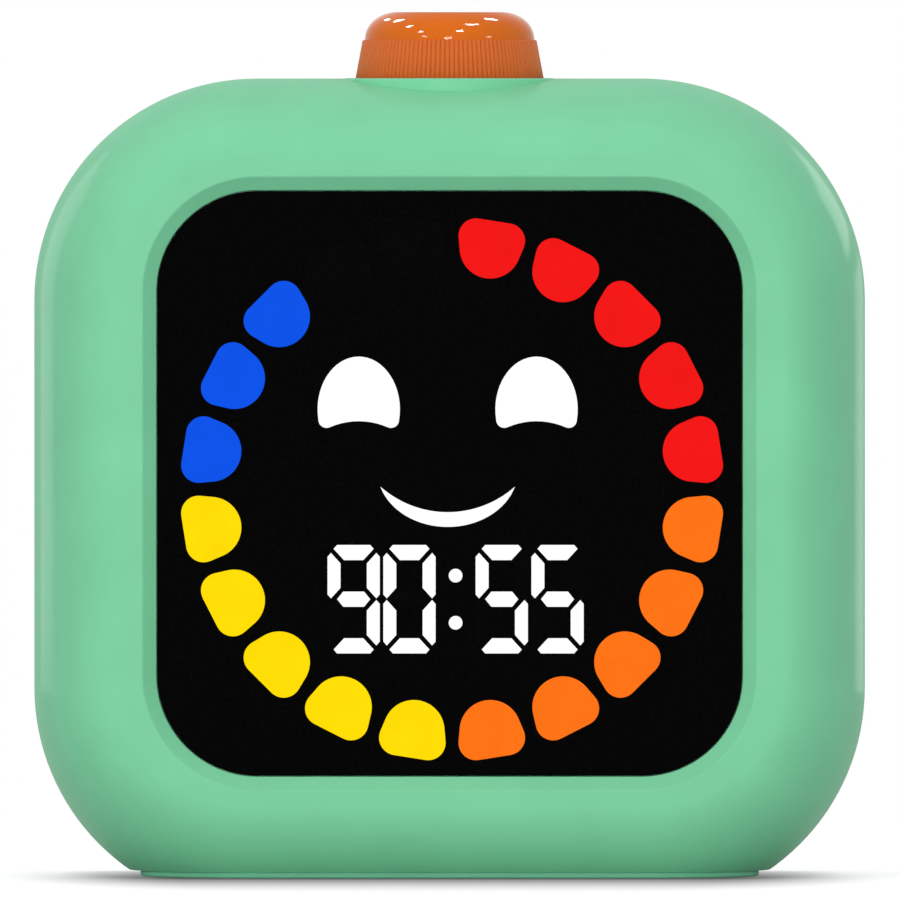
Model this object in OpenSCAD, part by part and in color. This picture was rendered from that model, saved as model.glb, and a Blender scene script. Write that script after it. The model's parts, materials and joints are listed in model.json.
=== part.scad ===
// Countdown timer with a ring of coloured time windows, a smiling face and one press-and-turn knob
// Millimetres, +Z up, front towards -Y, origin under the middle of the base where it meets the table

/* [Body] */
// Width of the body outline, and its height before the base is cut flat
body_w = 85; // [83:1:104]
// Height cut off the rounded bottom of the outline to make the flat base
base_cut = 4.1; // [3:0.1:4.5]
// Depth from the front face to the back face
body_depth = 42; // [41:1:54]
// Radius of the four corners of the outline
corner_r = 22.7; // [20:0.1:24]
// Width of the rounded front edge, seen from the front
front_round = 8.7; // [7:0.1:9]
// Radius of the rounded rear edge
rear_round = 7; // [4:0.5:7]
// Wall thickness of both shells
wall = 2; // [1.6:0.1:2.4]
// Distance of the joint between the shells behind the knob axis
parting_y = 13.2; // [13:0.1:14]
// Open groove between the two shells
parting_gap = 0.25; // [0.15:0.05:0.4]
// Length of the lip that centres the rear cover
lip_len = 1.8; // [1:0.1:1.8]
// Radius of the pillars that take the cover screws
boss_r = 3.2; // [3:0.1:3.4]
// Distance of each cover screw from the edge of the outline, sideways and upwards
cover_screw_inset = 12.8; // [11.5:0.1:13]

/* [Base pad] */
// Width of the soft pad under the base
pad_w = 63.2; // [56:0.2:64]
// Depth of the pad from front to back
pad_depth = 32.4; // [28:0.2:34]
// Corner radius of the pad
pad_r = 12; // [11:0.5:15]
// How far the pad stands out below the shell
pad_drop = 0.6; // [0.3:0.1:0.8]
// Depth of the pocket that holds the pad
pad_pocket = 0.6; // [0.5:0.1:1]

/* [Display] */
// Width and height of the black panel
panel_w = 59.5; // [59:0.1:61]
// Corner radius of the panel
panel_r = 10.2; // [9:0.1:11]
// Thickness of the panel
panel_t = 1.6; // [1.2:0.1:2]
// Width and depth of the sloped band round the panel
recess = 1.4; // [1:0.1:1.6]
// Height of the middle of the panel above the middle of the outline
panel_rise = 1.3; // [0.5:0.1:1.5]
// Number of windows in the ring, a quarter of them in each colour
ring_count = 20; // [12:4:20]
// Number of blue windows that are still lit
blue_lit = 3; // [1:1:3]
// Gap from the panel edge to the outer side of the ring
ring_margin = 2.1; // [2:0.05:4]
// Sideways place of the ring on the panel
ring_x = 0.25; // [-0.5:0.05:0.5]
// Upward place of the ring on the panel
ring_y = -0.6; // [-0.8:0.1:0.6]
// Radius of the round inner side of a ring window
window_big_r = 3.12; // [2.4:0.02:3.2]
// Radius of the two outer corners of a ring window
window_small_r = 1.78; // [1.2:0.02:1.9]
// Sideways place of the outer corners
window_side = 1.63; // [1:0.01:1.7]
// Distance of the outer corners beyond the middle of the inner side
window_rise = 0.99; // [0.5:0.01:1.2]

/* [Face] */
// Sideways place of the face on the panel
face_x = -0.2; // [-0.5:0.05:0.5]
// Half width of an eye
eye_half_w = 4.19; // [3:0.01:4.5]
// Height of the domed top of an eye
eye_dome_h = 5.37; // [4:0.01:5.5]
// Radius of the lower corners of an eye
eye_corner_r = 0.82; // [0.5:0.01:1]
// Drop of the lower corners below the widest line of an eye
eye_corner_drop = 1.07; // [0.8:0.01:1.4]
// Radius of the hollow lower edge of an eye
eye_hollow_r = 7.4; // [6:0.1:9]
// Half of the distance between the eyes
eye_spread = 9.05; // [7:0.05:10]
// Height of the widest line of the eyes on the panel
eye_y = 7.54; // [6:0.02:9]
// Half width of the smile
smile_half_w = 6.85; // [5:0.05:7]
// Depth of the smile from its tips to its lowest point
smile_h = 4.1; // [3:0.05:4.3]
// Thickness of the smile at its middle
smile_t = 1.5; // [1:0.05:2]
// Half width of the ellipse that the lower edge of the smile follows
smile_ellipse_w = 7.16; // [7.1:0.02:8]
// Height of the tips of the smile on the panel
smile_y = -0.33; // [-0.6:0.01:1]

/* [Digits] */
// Four figures on show, minutes then seconds
shown = [9, 0, 5, 5]; // [0:1:9]
// Sideways place of the figures on the panel
digits_x = 0.61; // [-0.8:0.01:0.8]
// Height of the middle of the figures on the panel
digits_y = -11.79; // [-13:0.01:-11.5]
// Width of a figure
digit_w = 5.32; // [4.5:0.02:5.4]
// Height of a figure
digit_h = 11.05; // [9:0.05:11.2]
// Pitch of the two figures of a pair
digit_pitch = 5.68; // [5.6:0.02:6]
// Distance of each pair from the colon
pair_x = 7.54; // [7.2:0.02:8]
// Thickness of a level segment
bar_t = 1.55; // [1.2:0.05:1.6]
// Thickness of an upright segment
upright_t = 1.32; // [1:0.02:1.4]
// Radius of a colon dot
colon_r = 0.7; // [0.5:0.05:0.8]
// Half of the distance between the colon dots
colon_y = 2.4; // [1.8:0.1:3]

/* [Knob] */
// Width of the ribbed skirt where it meets the collar
knob_d = 19.2; // [18:0.1:24]
// How much the skirt leans in from the collar to its top
skirt_lean = 0.7; // [0.3:0.05:0.9]
// Height of the skirt above the collar
skirt_h = 3.77; // [3.4:0.01:4.6]
// How far the skirt is sunk in the collar
skirt_sink = 0.5; // [0.3:0.1:0.6]
// Number of ribs round the skirt
rib_count = 120; // [90:6:132]
// Depth of the grooves between the ribs
rib_depth = 0.15; // [0.08:0.01:0.18]
// Step from the top of the skirt in to the foot of the domed cap
cap_step = 0.2; // [0.2:0.05:0.6]
// Height of the domed cap
cap_h = 2.82; // [2.6:0.01:4]
// Width of the rounded shoulder of the cap
cap_round = 3.2; // [2:0.1:4]
// How far the knob can be pressed
knob_travel = 0.6; // [0.3:0.05:0.7]
// Height of the collar above the top of the shell
collar_h = 0.2; // [0.15:0.05:0.6]
// Width of the rim of the collar
collar_rim = 0.85; // [0.7:0.05:1.2]
// Clearance round the foot of the skirt
well_gap = 0.3; // [0.2:0.05:0.5]
// Depth of the well in the collar
well_depth = 1.4; // [1.3:0.1:1.7]

/* [Encoder] */
// Thickness of the shelf that carries the encoder
shelf_t = 2; // [1.6:0.1:2.4]
// Diameter of the shaft
shaft_d = 6; // [4:0.5:6.5]
// Depth of the flats on the shaft
flat_depth = 0.6; // [0.3:0.1:0.8]
// Wall of the threaded bush round the shaft
bush_wall = 0.45; // [0.4:0.05:0.8]
// Running clearance of the shaft
run_gap = 0.05; // [0.03:0.01:0.1]
// Width across the flats of the nut
nut_af = 10; // [9:0.5:11]
// Thickness of the nut
nut_t = 2; // [1.6:0.1:2.2]
// Width of the encoder case
case_w = 12; // [11.6:0.1:14]
// Height of the encoder case
case_h = 6.7; // [6.5:0.1:8]

/* [Boards] */
// Thickness of the circuit boards
board_t = 1.6; // [1:0.1:1.6]
// Depth of the light wells behind the panel
well_len = 5; // [4:0.1:5]
// Width and height of the main board without its side ears
main_board_w = 58; // [57:0.5:58]
// Full width across the side ears
ear_span = 69; // [67:0.5:70]
// Distance of the board screws from the middle, sideways
board_screw_x = 31.5; // [31.2:0.1:31.8]
// Distance of the board screws from the middle, upwards
board_screw_y = 18; // [12:0.5:19]
// Width of the rear board
rear_board_w = 44; // [42:0.5:50]
// Height of the rear board
rear_board_h = 16; // [14:0.5:18]
// Distance of the middle of the rear board below the middle of the panel
rear_board_drop = 20.3; // [18.5:0.1:21]

/* [Battery and speaker] */
// Width of the cell
cell_w = 34; // [28:0.5:36]
// Height of the cell
cell_h = 38; // [30:0.5:40]
// Thickness of the cell
cell_t = 8; // [6:0.5:9]
// Radius of the speaker
speaker_r = 10; // [9:0.5:11]
// Height of the speaker above the middle of the panel
speaker_rise = 13.7; // [10:0.1:14.5]

/* [Rear panel] */
// Sideways place of the charging socket
usb_x = 9; // [7:0.5:11]
// Width of the charging socket
usb_w = 8.94; // [8.9:0.01:9]
// Height of the charging socket
usb_h = 3.2; // [3.1:0.05:3.3]
// Length of the charging socket
usb_len = 6; // [5.6:0.1:6.4]
// Sideways place of the volume switch
volume_x = -9; // [-11:0.5:-7]
// Travel of the volume switch to each side
volume_travel = 2; // [1:0.1:2]
// Radius of each sound hole
sound_hole_r = 0.8; // [0.5:0.1:1]
// Pitch of the sound holes
sound_pitch = 3; // [2.6:0.1:3.2]

/* [Hidden] */
$fn = 96;

// Colours
mint = "#7bcea0";
mint_dark = "#69b48c";
black = "#0b0b0c";
smoke = "#17181a";
red = "#f01716";
orange = "#fc7215";
yellow = "#fddb04";
blue = "#0c52e7";
white = "#fbfbfb";
knob_orange = "#d0692f";
cap_orange = "#d96a20";
board_green = "#1f5b3a";
steel = "#b9bcc0";
dark_plastic = "#26282b";
brass = "#c9a24a";
silver_foil = "#c3c6ca";

// Heights and depths that follow from the sizes above; forward means towards the viewer
front_run = body_depth / 2;
body_top = pad_drop + body_w - base_cut;
outline_z = body_top - body_w / 2;
cover_screw_pos = body_w / 2 - cover_screw_inset;
panel_z = outline_z + panel_rise;
rear_board_z = panel_z - rear_board_drop;
speaker_z = panel_z + speaker_rise;
corner_c = body_w / 2 - corner_r;
curve_steps = 28;
corner_steps = 10;
edge_steps = 32;
panel_front = front_run - recess;
panel_back = panel_front - panel_t;
tape_t = 0.2;
ledge_w = 0.9;
ledge_t = 1.5;
panel_fit = 0.1;
ledge_front = panel_back - tape_t;
ledge_back = ledge_front - ledge_t;
frame_grow = 3;
board_front = panel_back - well_len;
board_back = board_front - board_t;
boss_inset = 4.2;
boss_end = parting_y - boss_inset;
ring_r = panel_w / 2 - ring_margin - window_small_r - window_rise;
over = 1;
far = 150;

// Ends of the segments of a figure
bar_inset = 0.62;
bar_mitre = 1.06;
segment_clip = 0.35;
tip_drop = 0.4;
upright_inset = 0.81;
upright_mitre = 1.07;
middle_gap = 0.08;
middle_inset = 0.97;
middle_mitre = 0.63;

// Screws: radius and thickness of the head, radius and length of the shank, and their holes
cover_head = [2.2, 1.6];
cover_shank = [1.08, 11];
cover_hole_r = 1.4;
cover_seat_t = 2.2;
cover_seat = boss_end + cover_seat_t;
board_head = [1.9, 1.3];
board_shank = [0.72, 5.4];
rear_head = [1.8, 1.2];
rear_shank = [0.68, 5];
pilot_gap = 0.02;
post_r = 2.5;
screw_hole_gap = 0.3;

// Pieces on the main board
quarter = ring_count / 4;
big_led = [3.5, 2.8, 1];
small_led = [1.6, 0.8, 0.6];
dot_led = [0.8, 0.8, 0.6];
tape_w = 0.8;
ear_r = 3.5;
chip_x = 12.5;
small_chip = [7, 7, 1.2];
large_chip = [10.3, 7, 2.2];
top_row_y = 24.6;
ribbon_socket = [9, 5, 4];
wire_socket = [5, 5, 4];
link_socket = [10, 4, 4];
side_socket_x = 24;
link_z = rear_board_z - 4;
smile_led_rise = 0.9;

// Cell, leads and cables
foam_t = 1;
foam_margin = 4;
cell_r = 3;
wire_r = 0.55;
wire_gap = 0.7;
wire_bend = 1.4;
lead_rise = 1.2;
lead_depth = 2.6;
battery_lead_x = 12;
cable_w = 8;
cable_t = 0.8;
ribbon_w = 7;
ribbon_bend = 0.8;
ribbon_run = 0.2;
ribbon_y = -6.4;

// Fits
cover_fit = 0.1;
pad_fit = 0.1;
bush_gap = 0.1;
port_gap = 0.25;

// Knob and encoder heights
collar_z = body_top + collar_h;
shelf_z = collar_z - well_depth;
case_top = shelf_z - shelf_t;
plate_t = 1;
case_z = case_top - plate_t - case_h;
skirt_slope = skirt_lean / skirt_h;
skirt_top_r = knob_d / 2 - skirt_lean;
cap_r = skirt_top_r - cap_step;
skirt_foot_z = collar_z - skirt_sink;
skirt_foot_r = knob_d / 2 + skirt_slope * skirt_sink;
skirt_top_z = collar_z + skirt_h;
well_r = skirt_foot_r + well_gap;
collar_r = well_r + collar_rim;
bush_r = shaft_d / 2 + run_gap + bush_wall;
shaft_flat = shaft_d / 2 - flat_depth;
washer_t = 0.5;
thread_out = 0.4;
bush_top = shelf_z + washer_t + nut_t + thread_out;
hub_gap = 0.25;
hub_z = bush_top + knob_travel + hub_gap;
cap_side_t = 1.8;
cap_top_t = 1.15;
core_r = cap_r - cap_side_t;
core_top = skirt_top_z + cap_h - cap_top_t;
core_t = 0.8;
shaft_top = core_top - core_t;
plunger_r = 2.5;
case_floor = 0.8;
dome_z = case_z + case_floor;
dome_h = 0.65;
plunger_z = dome_z + dome_h;
plunger_t = 0.9;
shaft_foot = plunger_z + plunger_t;
rotor_inset = 1.4;
rotor_r = case_w / 2 - rotor_inset;
rotor_rise = 1;
rotor_z = shaft_foot + rotor_rise;
rotor_t = 2;
detents = 24;
notch_len = 0.7;
notch_w = 0.4;
notch_depth = 0.3;
detent_t = 0.2;
case_gap = 0.4;
washer_rim = 0.9;
washer_r = nut_af / 2 + washer_rim;
pin_r = 0.4;
pin_gap = 0.1;
pin_pitch = 2.5;
pin_inset = 1.2;
pin_out = 0.8;
small_board = [20, 16];
shell_fit = 0.02;

// Rear panel depths, measured backwards from the knob axis
usb_inset = 0.3;
rear_board_y = front_run - usb_inset - usb_len;
rear_screw_inset = 2.5;
rear_screw_x = rear_board_w / 2 - rear_screw_inset;
usb_r = 1.4;
usb_wall = 0.3;
tongue_w = 6.7;
tongue_t = 0.7;
tongue_foot = 1;
tongue_short = 0.9;
switch_size = [10.4, 4.4, 3];
switch_floor = 1;
lever_w = 2.6;
lever_h = 2;
lever_gap = 0.2;
lever_lift = 0.1;
lever_inset = 0.1;
ridge_pitch = 0.8;
ridge_gap = 0.3;
ridge_depth = 0.2;
scoop_w = 13;
scoop_h = 6.4;
scoop_r = 2.6;
scoop_depth = 0.8;
speaker_y = front_run - wall;
speaker_depth = 4;
speaker_wall = 1.3;
speaker_ring = 2.4;
speaker_fit = 0.1;
frame_w = 1.2;
frame_t = 0.8;
frame_hole_r = 3;
cone_flat_r = 3;
cone_rise = 1.6;
cone_t = 0.3;
magnet_r = speaker_r * 0.6;
magnet_depth = 3;

// Segments lit for each figure, in the order top, upper right, lower right, bottom,
// lower left, upper left, middle
LIT = [[1, 1, 1, 1, 1, 1, 0], [0, 1, 1, 0, 0, 0, 0], [1, 1, 0, 1, 1, 0, 1], [1, 1, 1, 1, 0, 0, 1],
    [0, 1, 1, 0, 0, 1, 1], [1, 0, 1, 1, 0, 1, 1], [1, 0, 1, 1, 1, 1, 1], [1, 1, 1, 0, 0, 0, 0],
    [1, 1, 1, 1, 1, 1, 1], [1, 1, 1, 1, 0, 1, 1]];

// Outline helpers

// Points along an arc of an ellipse
function arc(cx, cy, rx, ry, from, to, steps) = [for (i = [0 : steps])
    let (t = from + (to - from) * i / steps) [cx + rx * cos(t), cy + ry * sin(t)]];

// The same points without the two ends
function inner_arc(cx, cy, rx, ry, from, to, steps) =
    let (points = arc(cx, cy, rx, ry, from, to, steps)) [for (i = [1 : steps - 1]) points[i]];

// Rounded front edge of the shell, measured from the corner centre of the outline
function front_curve(inset) = arc(corner_r - front_round, 0, front_round - inset, front_run - inset,
    0, 90, curve_steps);

// Rounded rear edge of the shell
function rear_curve(inset) = arc(corner_r - rear_round, rear_round - front_run, rear_round - inset,
    inset - rear_round, 0, 90, curve_steps / 2);

// Ring window: two outer corners joined to a round inner side
function window_points() =
    let (reach = norm([window_side, window_rise]))
    let (lean = acos((window_big_r - window_small_r) / reach) - atan2(window_rise, window_side))
    concat(arc(window_side, window_rise, window_small_r, window_small_r, -lean, 90, corner_steps),
        arc(-window_side, window_rise, window_small_r, window_small_r, 90, 180 + lean, corner_steps),
        arc(0, 0, window_big_r, window_big_r, 180 + lean, 360 - lean, edge_steps));

// Eye: elliptical dome, rounded lower corners and a hollow lower edge
function eye_points() =
    let (dip = asin(eye_corner_drop / eye_dome_h))
    let (corner_x = eye_half_w * cos(dip) - eye_corner_r)
    let (hollow_y = -eye_corner_drop - sqrt(pow(eye_hollow_r + eye_corner_r, 2) - pow(corner_x, 2)))
    let (meet = atan2(-eye_corner_drop - hollow_y, corner_x))
    concat(arc(0, 0, eye_half_w, eye_dome_h, -dip, 180 + dip, edge_steps),
        inner_arc(-corner_x, -eye_corner_drop, eye_corner_r, eye_corner_r, 180, 360 - meet, corner_steps),
        arc(0, hollow_y, eye_hollow_r, eye_hollow_r, 180 - meet, meet, corner_steps),
        inner_arc(corner_x, -eye_corner_drop, eye_corner_r, eye_corner_r, 180 + meet, 360, corner_steps));

// Smile: a crescent between an elliptical lower edge and a flatter upper edge
function smile_points() =
    let (tip = acos(smile_half_w / smile_ellipse_w))
    let (deep = smile_h / (1 - sin(tip)))
    let (sag = smile_h - smile_t)
    let (upper_r = (pow(smile_half_w, 2) + sag * sag) / (2 * sag))
    let (half = asin(smile_half_w / upper_r))
    concat(arc(0, deep * sin(tip), smile_ellipse_w, deep, 180 + tip, 360 - tip, edge_steps),
        inner_arc(0, upper_r - sag, upper_r, upper_r, 270 + half, 270 - half, edge_steps));

// Level segment at the top or bottom of a figure
function bar_points() =
    let (top = digit_h / 2)
    let (half = digit_w / 2 - bar_inset)
    let (foot = half - bar_mitre)
    [[segment_clip - half, top], [-half, top - tip_drop], [-foot, top - bar_t], [foot, top - bar_t],
        [half, top - tip_drop], [half - segment_clip, top]];

// Upper left upright segment of a figure
function upright_points() =
    let (out = -digit_w / 2)
    let (top = digit_h / 2 - upright_inset)
    let (foot = middle_gap)
    [[out, top - tip_drop], [out, foot + tip_drop], [out + segment_clip, foot],
        [out + upright_t, foot + upright_mitre], [out + upright_t, top - upright_mitre],
        [out + segment_clip, top]];

// Middle segment of a figure
function middle_points() =
    let (half = digit_w / 2 - middle_inset)
    let (flat = half - middle_mitre)
    [[-half, 0], [-flat, bar_t / 2], [flat, bar_t / 2], [half, 0], [flat, -bar_t / 2], [-flat, -bar_t / 2]];

// Sideways place of a figure, counted from the left
function digit_place(i) = (i < 2 ? -pair_x : pair_x) + (i % 2 - 0.5) * digit_pitch;

// Solid helpers

// Turns right, up and forward axes into the axes of the part, at a height
module upright(z) {
    translate([0, 0, z])
        rotate([90, 0, 0])
            children();
}

// Keeps what lies above a height
module above(z) {
    translate([-far, -far, z])
        cube(2 * far);
}

// Carries a profile round a rounded rectangle; the profile starts at the corner centre
module round_sweep(cx, cy, from, to) {
    places = [[cx, cy], [-cx, cy], [-cx, -cy], [cx, -cy]];
    translate([-cx, -cy, from])
        cube([2 * cx, 2 * cy, to - from]);
    for (k = [0 : 3])
        translate(places[k])
            rotate([0, 0, 90 * k]) {
                rotate_extrude(angle = 90)
                    children();
                rotate([90, 0, 0])
                    linear_extrude(k % 2 == 0 ? 2 * cy : 2 * cx)
                        children();
            }
}

// Plate with round corners, between two depths
module round_plate(w, h, r, from, to) {
    round_sweep(w / 2 - r, h / 2 - r, from, to)
        translate([0, from])
            square([r, to - from]);
}

// Solid front half of the body, set in from the outside by an amount
module front_block(inset, back) {
    intersection() {
        upright(outline_z)
            round_sweep(corner_c, corner_c, -back, front_run - inset)
                polygon(concat([[0, -back], [corner_r - inset, -back]], front_curve(inset),
                    [[0, front_run - inset]]));
        above(pad_drop + inset);
    }
}

// Solid rear half of the body, set in from the outside by an amount
module rear_block(inset, start) {
    intersection() {
        upright(outline_z)
            round_sweep(corner_c, corner_c, inset - front_run, -start)
                polygon(concat([[0, -start], [corner_r - inset, -start]], rear_curve(inset),
                    [[0, inset - front_run]]));
        above(pad_drop + inset);
    }
}

// Straight ring block that follows the outline between two depths
module outline_block(inset, from, to) {
    intersection() {
        upright(outline_z)
            round_sweep(corner_c, corner_c, from, to)
                translate([0, from])
                    square([corner_r - inset, to - from]);
        above(pad_drop + inset);
    }
}

// Places copies at the four cover screws
module at_cover_screws() {
    for (x = [-1, 1], z = [-1, 1])
        translate([x * cover_screw_pos, 0, outline_z + z * cover_screw_pos])
            children();
}

// Places copies at the four board screws
module at_board_screws() {
    for (x = [-1, 1], z = [-1, 1])
        translate([x * board_screw_x, 0, panel_z + z * board_screw_y])
            children();
}

// Places copies at the two rear board screws
module at_rear_screws() {
    for (x = [-1, 1])
        translate([x * rear_screw_x, 0, rear_board_z])
            children();
}

// Round bar along the depth, from one depth to another, measured backwards
module depth_bar(r, from, to) {
    translate([0, from, 0])
        rotate([-90, 0, 0])
            cylinder(r = r, h = to - from);
}

// Pan head screw that points forward, with its head seat at a depth
module screw(seat, head, shank) {
    slot_len = head[0] * 1.2;
    slot_w = head[0] * 0.24;
    slot_depth = head[1] * 0.6;
    difference() {
        union() {
            depth_bar(head[0], seat, seat + head[1]);
            depth_bar(shank[0], seat - shank[1], seat + head[1] - slot_depth);
        }
        for (turn = [0, 90])
            rotate([0, turn, 0])
                translate([-slot_len / 2, seat + head[1] - slot_depth, -slot_w / 2])
                    cube([slot_len, head[1], slot_w]);
    }
}

// Wire that runs along x, bends and runs along y
module bent_wire(first, bend, second) {
    rotate([0, 90, 0])
        cylinder(r = wire_r, h = first);
    translate([first, bend, 0])
        rotate([0, 0, -90])
            rotate_extrude(angle = 90)
                translate([bend, 0])
                    circle(r = wire_r);
    translate([first + bend, bend, 0])
        rotate([-90, 0, 0])
            cylinder(r = wire_r, h = second);
}

// Display outlines, drawn on the panel

// Ring windows counted clockwise from the top
module ring_shapes(first, count) {
    for (i = [first : 1 : first + count - 1])
        translate([ring_x, ring_y])
            rotate(-(i + 0.5) * 360 / ring_count)
                translate([0, ring_r])
                    polygon(window_points());
}

// Both eyes
module eye_shapes() {
    for (side = [-1, 1])
        translate([face_x + side * eye_spread, eye_y])
            polygon(eye_points());
}

// The smile
module smile_shape() {
    translate([face_x, smile_y])
        polygon(smile_points());
}

// One segment of a figure, by its number
module segment(s) {
    if (s == 0)
        polygon(bar_points());
    if (s == 1)
        mirror([1, 0])
            polygon(upright_points());
    if (s == 2)
        rotate(180)
            polygon(upright_points());
    if (s == 3)
        mirror([0, 1])
            polygon(bar_points());
    if (s == 4)
        mirror([0, 1])
            polygon(upright_points());
    if (s == 5)
        polygon(upright_points());
    if (s == 6)
        polygon(middle_points());
}

// Segments of the four figures that are lit, or that are dark
module digit_shapes(lit) {
    for (i = [0 : 3], s = [0 : 6])
        if (LIT[shown[i]][s] == lit)
            translate([digits_x + digit_place(i), digits_y])
                segment(s);
}

// The two colon dots
module colon_shapes() {
    for (side = [-1, 1])
        translate([digits_x, digits_y + side * colon_y])
            polygon(inner_arc(0, 0, colon_r, colon_r, 0, 360 + 360 / edge_steps, edge_steps + 1));
}

// Every window of the panel
module all_shapes() {
    ring_shapes(0, ring_count);
    eye_shapes();
    smile_shape();
    digit_shapes(1);
    digit_shapes(0);
    colon_shapes();
}

// Window insert as thick as the panel
module insert() {
    upright(panel_z)
        translate([0, 0, panel_back])
            linear_extrude(panel_t)
                children();
}

// Body shells

// Stepped opening for the panel: ledge hole, panel pocket and sloped band
module display_opening() {
    c = panel_w / 2 - panel_r;
    ledge = panel_r - ledge_w;
    pocket = panel_r + panel_fit;
    upright(panel_z)
        round_sweep(c, c, ledge_back - over, front_run + over)
            polygon([[0, ledge_back - over], [ledge, ledge_back - over], [ledge, ledge_front],
                [pocket, ledge_front], [pocket, panel_front], [pocket + recess + over, front_run + over],
                [0, front_run + over]]);
}

// Thick frame, screw pillars and board posts inside the front shell
module front_inside() {
    intersection() {
        front_block(wall / 2, parting_y);
        union() {
            upright(panel_z)
                round_plate(panel_w + 2 * frame_grow, panel_w + 2 * frame_grow, panel_r + frame_grow,
                    ledge_back, front_run);
            at_cover_screws()
                depth_bar(boss_r, -front_run, boss_end);
            at_board_screws()
                depth_bar(post_r, -front_run, -board_front);
        }
    }
}

// Raised collar round the knob, and the shelf that carries the encoder
module knob_collar() {
    edge = 0.15;
    rotate_extrude()
        polygon([[0, case_top], [collar_r, case_top], [collar_r, collar_z - edge],
            [collar_r - edge, collar_z], [0, collar_z]]);
}

module front_housing() {
    color(mint)
        difference() {
            union() {
                difference() {
                    front_block(0, parting_y);
                    front_block(wall, parting_y + over);
                }
                front_inside();
                knob_collar();
            }
            display_opening();
            outline_block(wall / 2, -parting_y - over, lip_len - parting_y);
            pad_pocket_block();
            at_cover_screws()
                depth_bar(cover_shank[0] + pilot_gap, cover_seat - cover_shank[1] - over, boss_end + over);
            at_board_screws()
                depth_bar(board_shank[0] + pilot_gap, -board_back - board_shank[1] - over / 2,
                    over - board_front);
            translate([0, 0, shelf_z])
                cylinder(r = well_r, h = well_depth + over);
            translate([0, 0, case_top - over])
                cylinder(r = bush_r + bush_gap, h = shelf_t + 2 * over);
        }
}

// Pocket under the base for the pad
module pad_pocket_block() {
    round_plate(pad_w + 2 * pad_fit, pad_depth + 2 * pad_fit, pad_r + pad_fit, -over, pad_drop + pad_pocket);
}

// Posts, speaker ring and switch frame inside the rear cover
module rear_inside() {
    intersection() {
        rear_block(wall / 2, 0);
        union() {
            at_cover_screws()
                depth_bar(boss_r, boss_end + cover_fit, front_run);
            at_rear_screws()
                depth_bar(post_r, rear_board_y, front_run);
            translate([0, 0, speaker_z])
                depth_bar(speaker_r + speaker_wall, speaker_y - speaker_ring, front_run);
        }
    }
}

// Holes through the rear cover
module rear_holes() {
    at_cover_screws() {
        depth_bar(cover_hole_r, boss_end, front_run + over);
        depth_bar(cover_head[0] + screw_hole_gap, cover_seat, front_run + over);
    }
    at_rear_screws()
        depth_bar(rear_shank[0] + pilot_gap, rear_board_y - over, rear_board_y + rear_shank[1] - over);
    translate([0, 0, speaker_z]) {
        depth_bar(speaker_r + speaker_fit, speaker_y - speaker_ring - over, speaker_y);
        depth_bar(sound_hole_r, speaker_y - over, front_run + over);
        for (ring = [1, 2], i = [0 : 6 * ring - 1])
            rotate([0, i * 60 / ring, 0])
                translate([ring * sound_pitch, 0, 0])
                    depth_bar(sound_hole_r, speaker_y - over, front_run + over);
    }
    translate([usb_x, 0, 0])
        upright(rear_board_z)
            round_plate(usb_w + 2 * port_gap, usb_h + 2 * port_gap, usb_r + port_gap, -front_run - over,
                wall + over - front_run);
    translate([volume_x, 0, 0])
        upright(rear_board_z) {
            round_plate(lever_w + 2 * (volume_travel + port_gap), lever_h + 2 * port_gap, port_gap,
                -front_run - over, wall + over - front_run);
            round_plate(scoop_w, scoop_h, scoop_r, -front_run - over, scoop_depth - front_run);
        }
}

module rear_cover() {
    start = parting_y + parting_gap;
    color(mint)
        difference() {
            union() {
                difference() {
                    union() {
                        rear_block(0, start);
                        outline_block(wall / 2 + cover_fit, -start - over, lip_len - parting_y - cover_fit);
                    }
                    rear_block(wall, parting_y - lip_len - over);
                }
                rear_inside();
            }
            rear_holes();
            pad_pocket_block();
        }
}

module base_pad() {
    color(mint_dark)
        round_plate(pad_w, pad_depth, pad_r, 0, pad_drop + pad_pocket);
}

// Display stack

module display_panel() {
    color(black)
        difference() {
            upright(panel_z)
                round_plate(panel_w, panel_w, panel_r, panel_back, panel_front);
            upright(panel_z)
                translate([0, 0, panel_back - over])
                    linear_extrude(panel_t + 2 * over)
                        all_shapes();
        }
}

module panel_tape() {
    color(smoke)
        upright(panel_z)
            difference() {
                round_plate(panel_w, panel_w, panel_r, ledge_front, panel_back);
                round_plate(panel_w - 2 * tape_w, panel_w - 2 * tape_w, panel_r - tape_w,
                    ledge_front - over, panel_back + over);
            }
}

module red_windows() {
    color(red)
        insert()
            ring_shapes(0, quarter);
}

module orange_windows() {
    color(orange)
        insert()
            ring_shapes(quarter, quarter);
}

module yellow_windows() {
    color(yellow)
        insert()
            ring_shapes(2 * quarter, quarter);
}

module blue_windows() {
    color(blue)
        insert()
            ring_shapes(3 * quarter, blue_lit);
}

module unlit_windows() {
    color(smoke)
        insert() {
            ring_shapes(3 * quarter + blue_lit, quarter - blue_lit);
            digit_shapes(0);
        }
}

module eye_windows() {
    color(white)
        insert()
            eye_shapes();
}

module smile_window() {
    color(white)
        insert()
            smile_shape();
}

module digit_windows() {
    color(white)
        insert()
            digit_shapes(1);
}

module colon_windows() {
    color(white)
        insert()
            colon_shapes();
}

module light_reflector() {
    inset = ledge_w + panel_fit;
    w = panel_w - 2 * inset;
    color(white)
        difference() {
            upright(panel_z)
                round_plate(w, w, panel_r - inset, board_front, panel_back);
            upright(panel_z)
                translate([0, 0, board_front - over])
                    linear_extrude(well_len + 2 * over)
                        all_shapes();
        }
}

// Main board and what sits on it

module main_board() {
    color(board_green)
        difference() {
            upright(panel_z)
                union() {
                    round_plate(main_board_w, main_board_w, panel_r, board_back, board_front);
                    round_plate(ear_span, 2 * (board_screw_y + ear_r), ear_r, board_back, board_front);
                }
            at_board_screws()
                depth_bar(board_shank[0] + screw_hole_gap, -board_front - over, over - board_back);
        }
}

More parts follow.
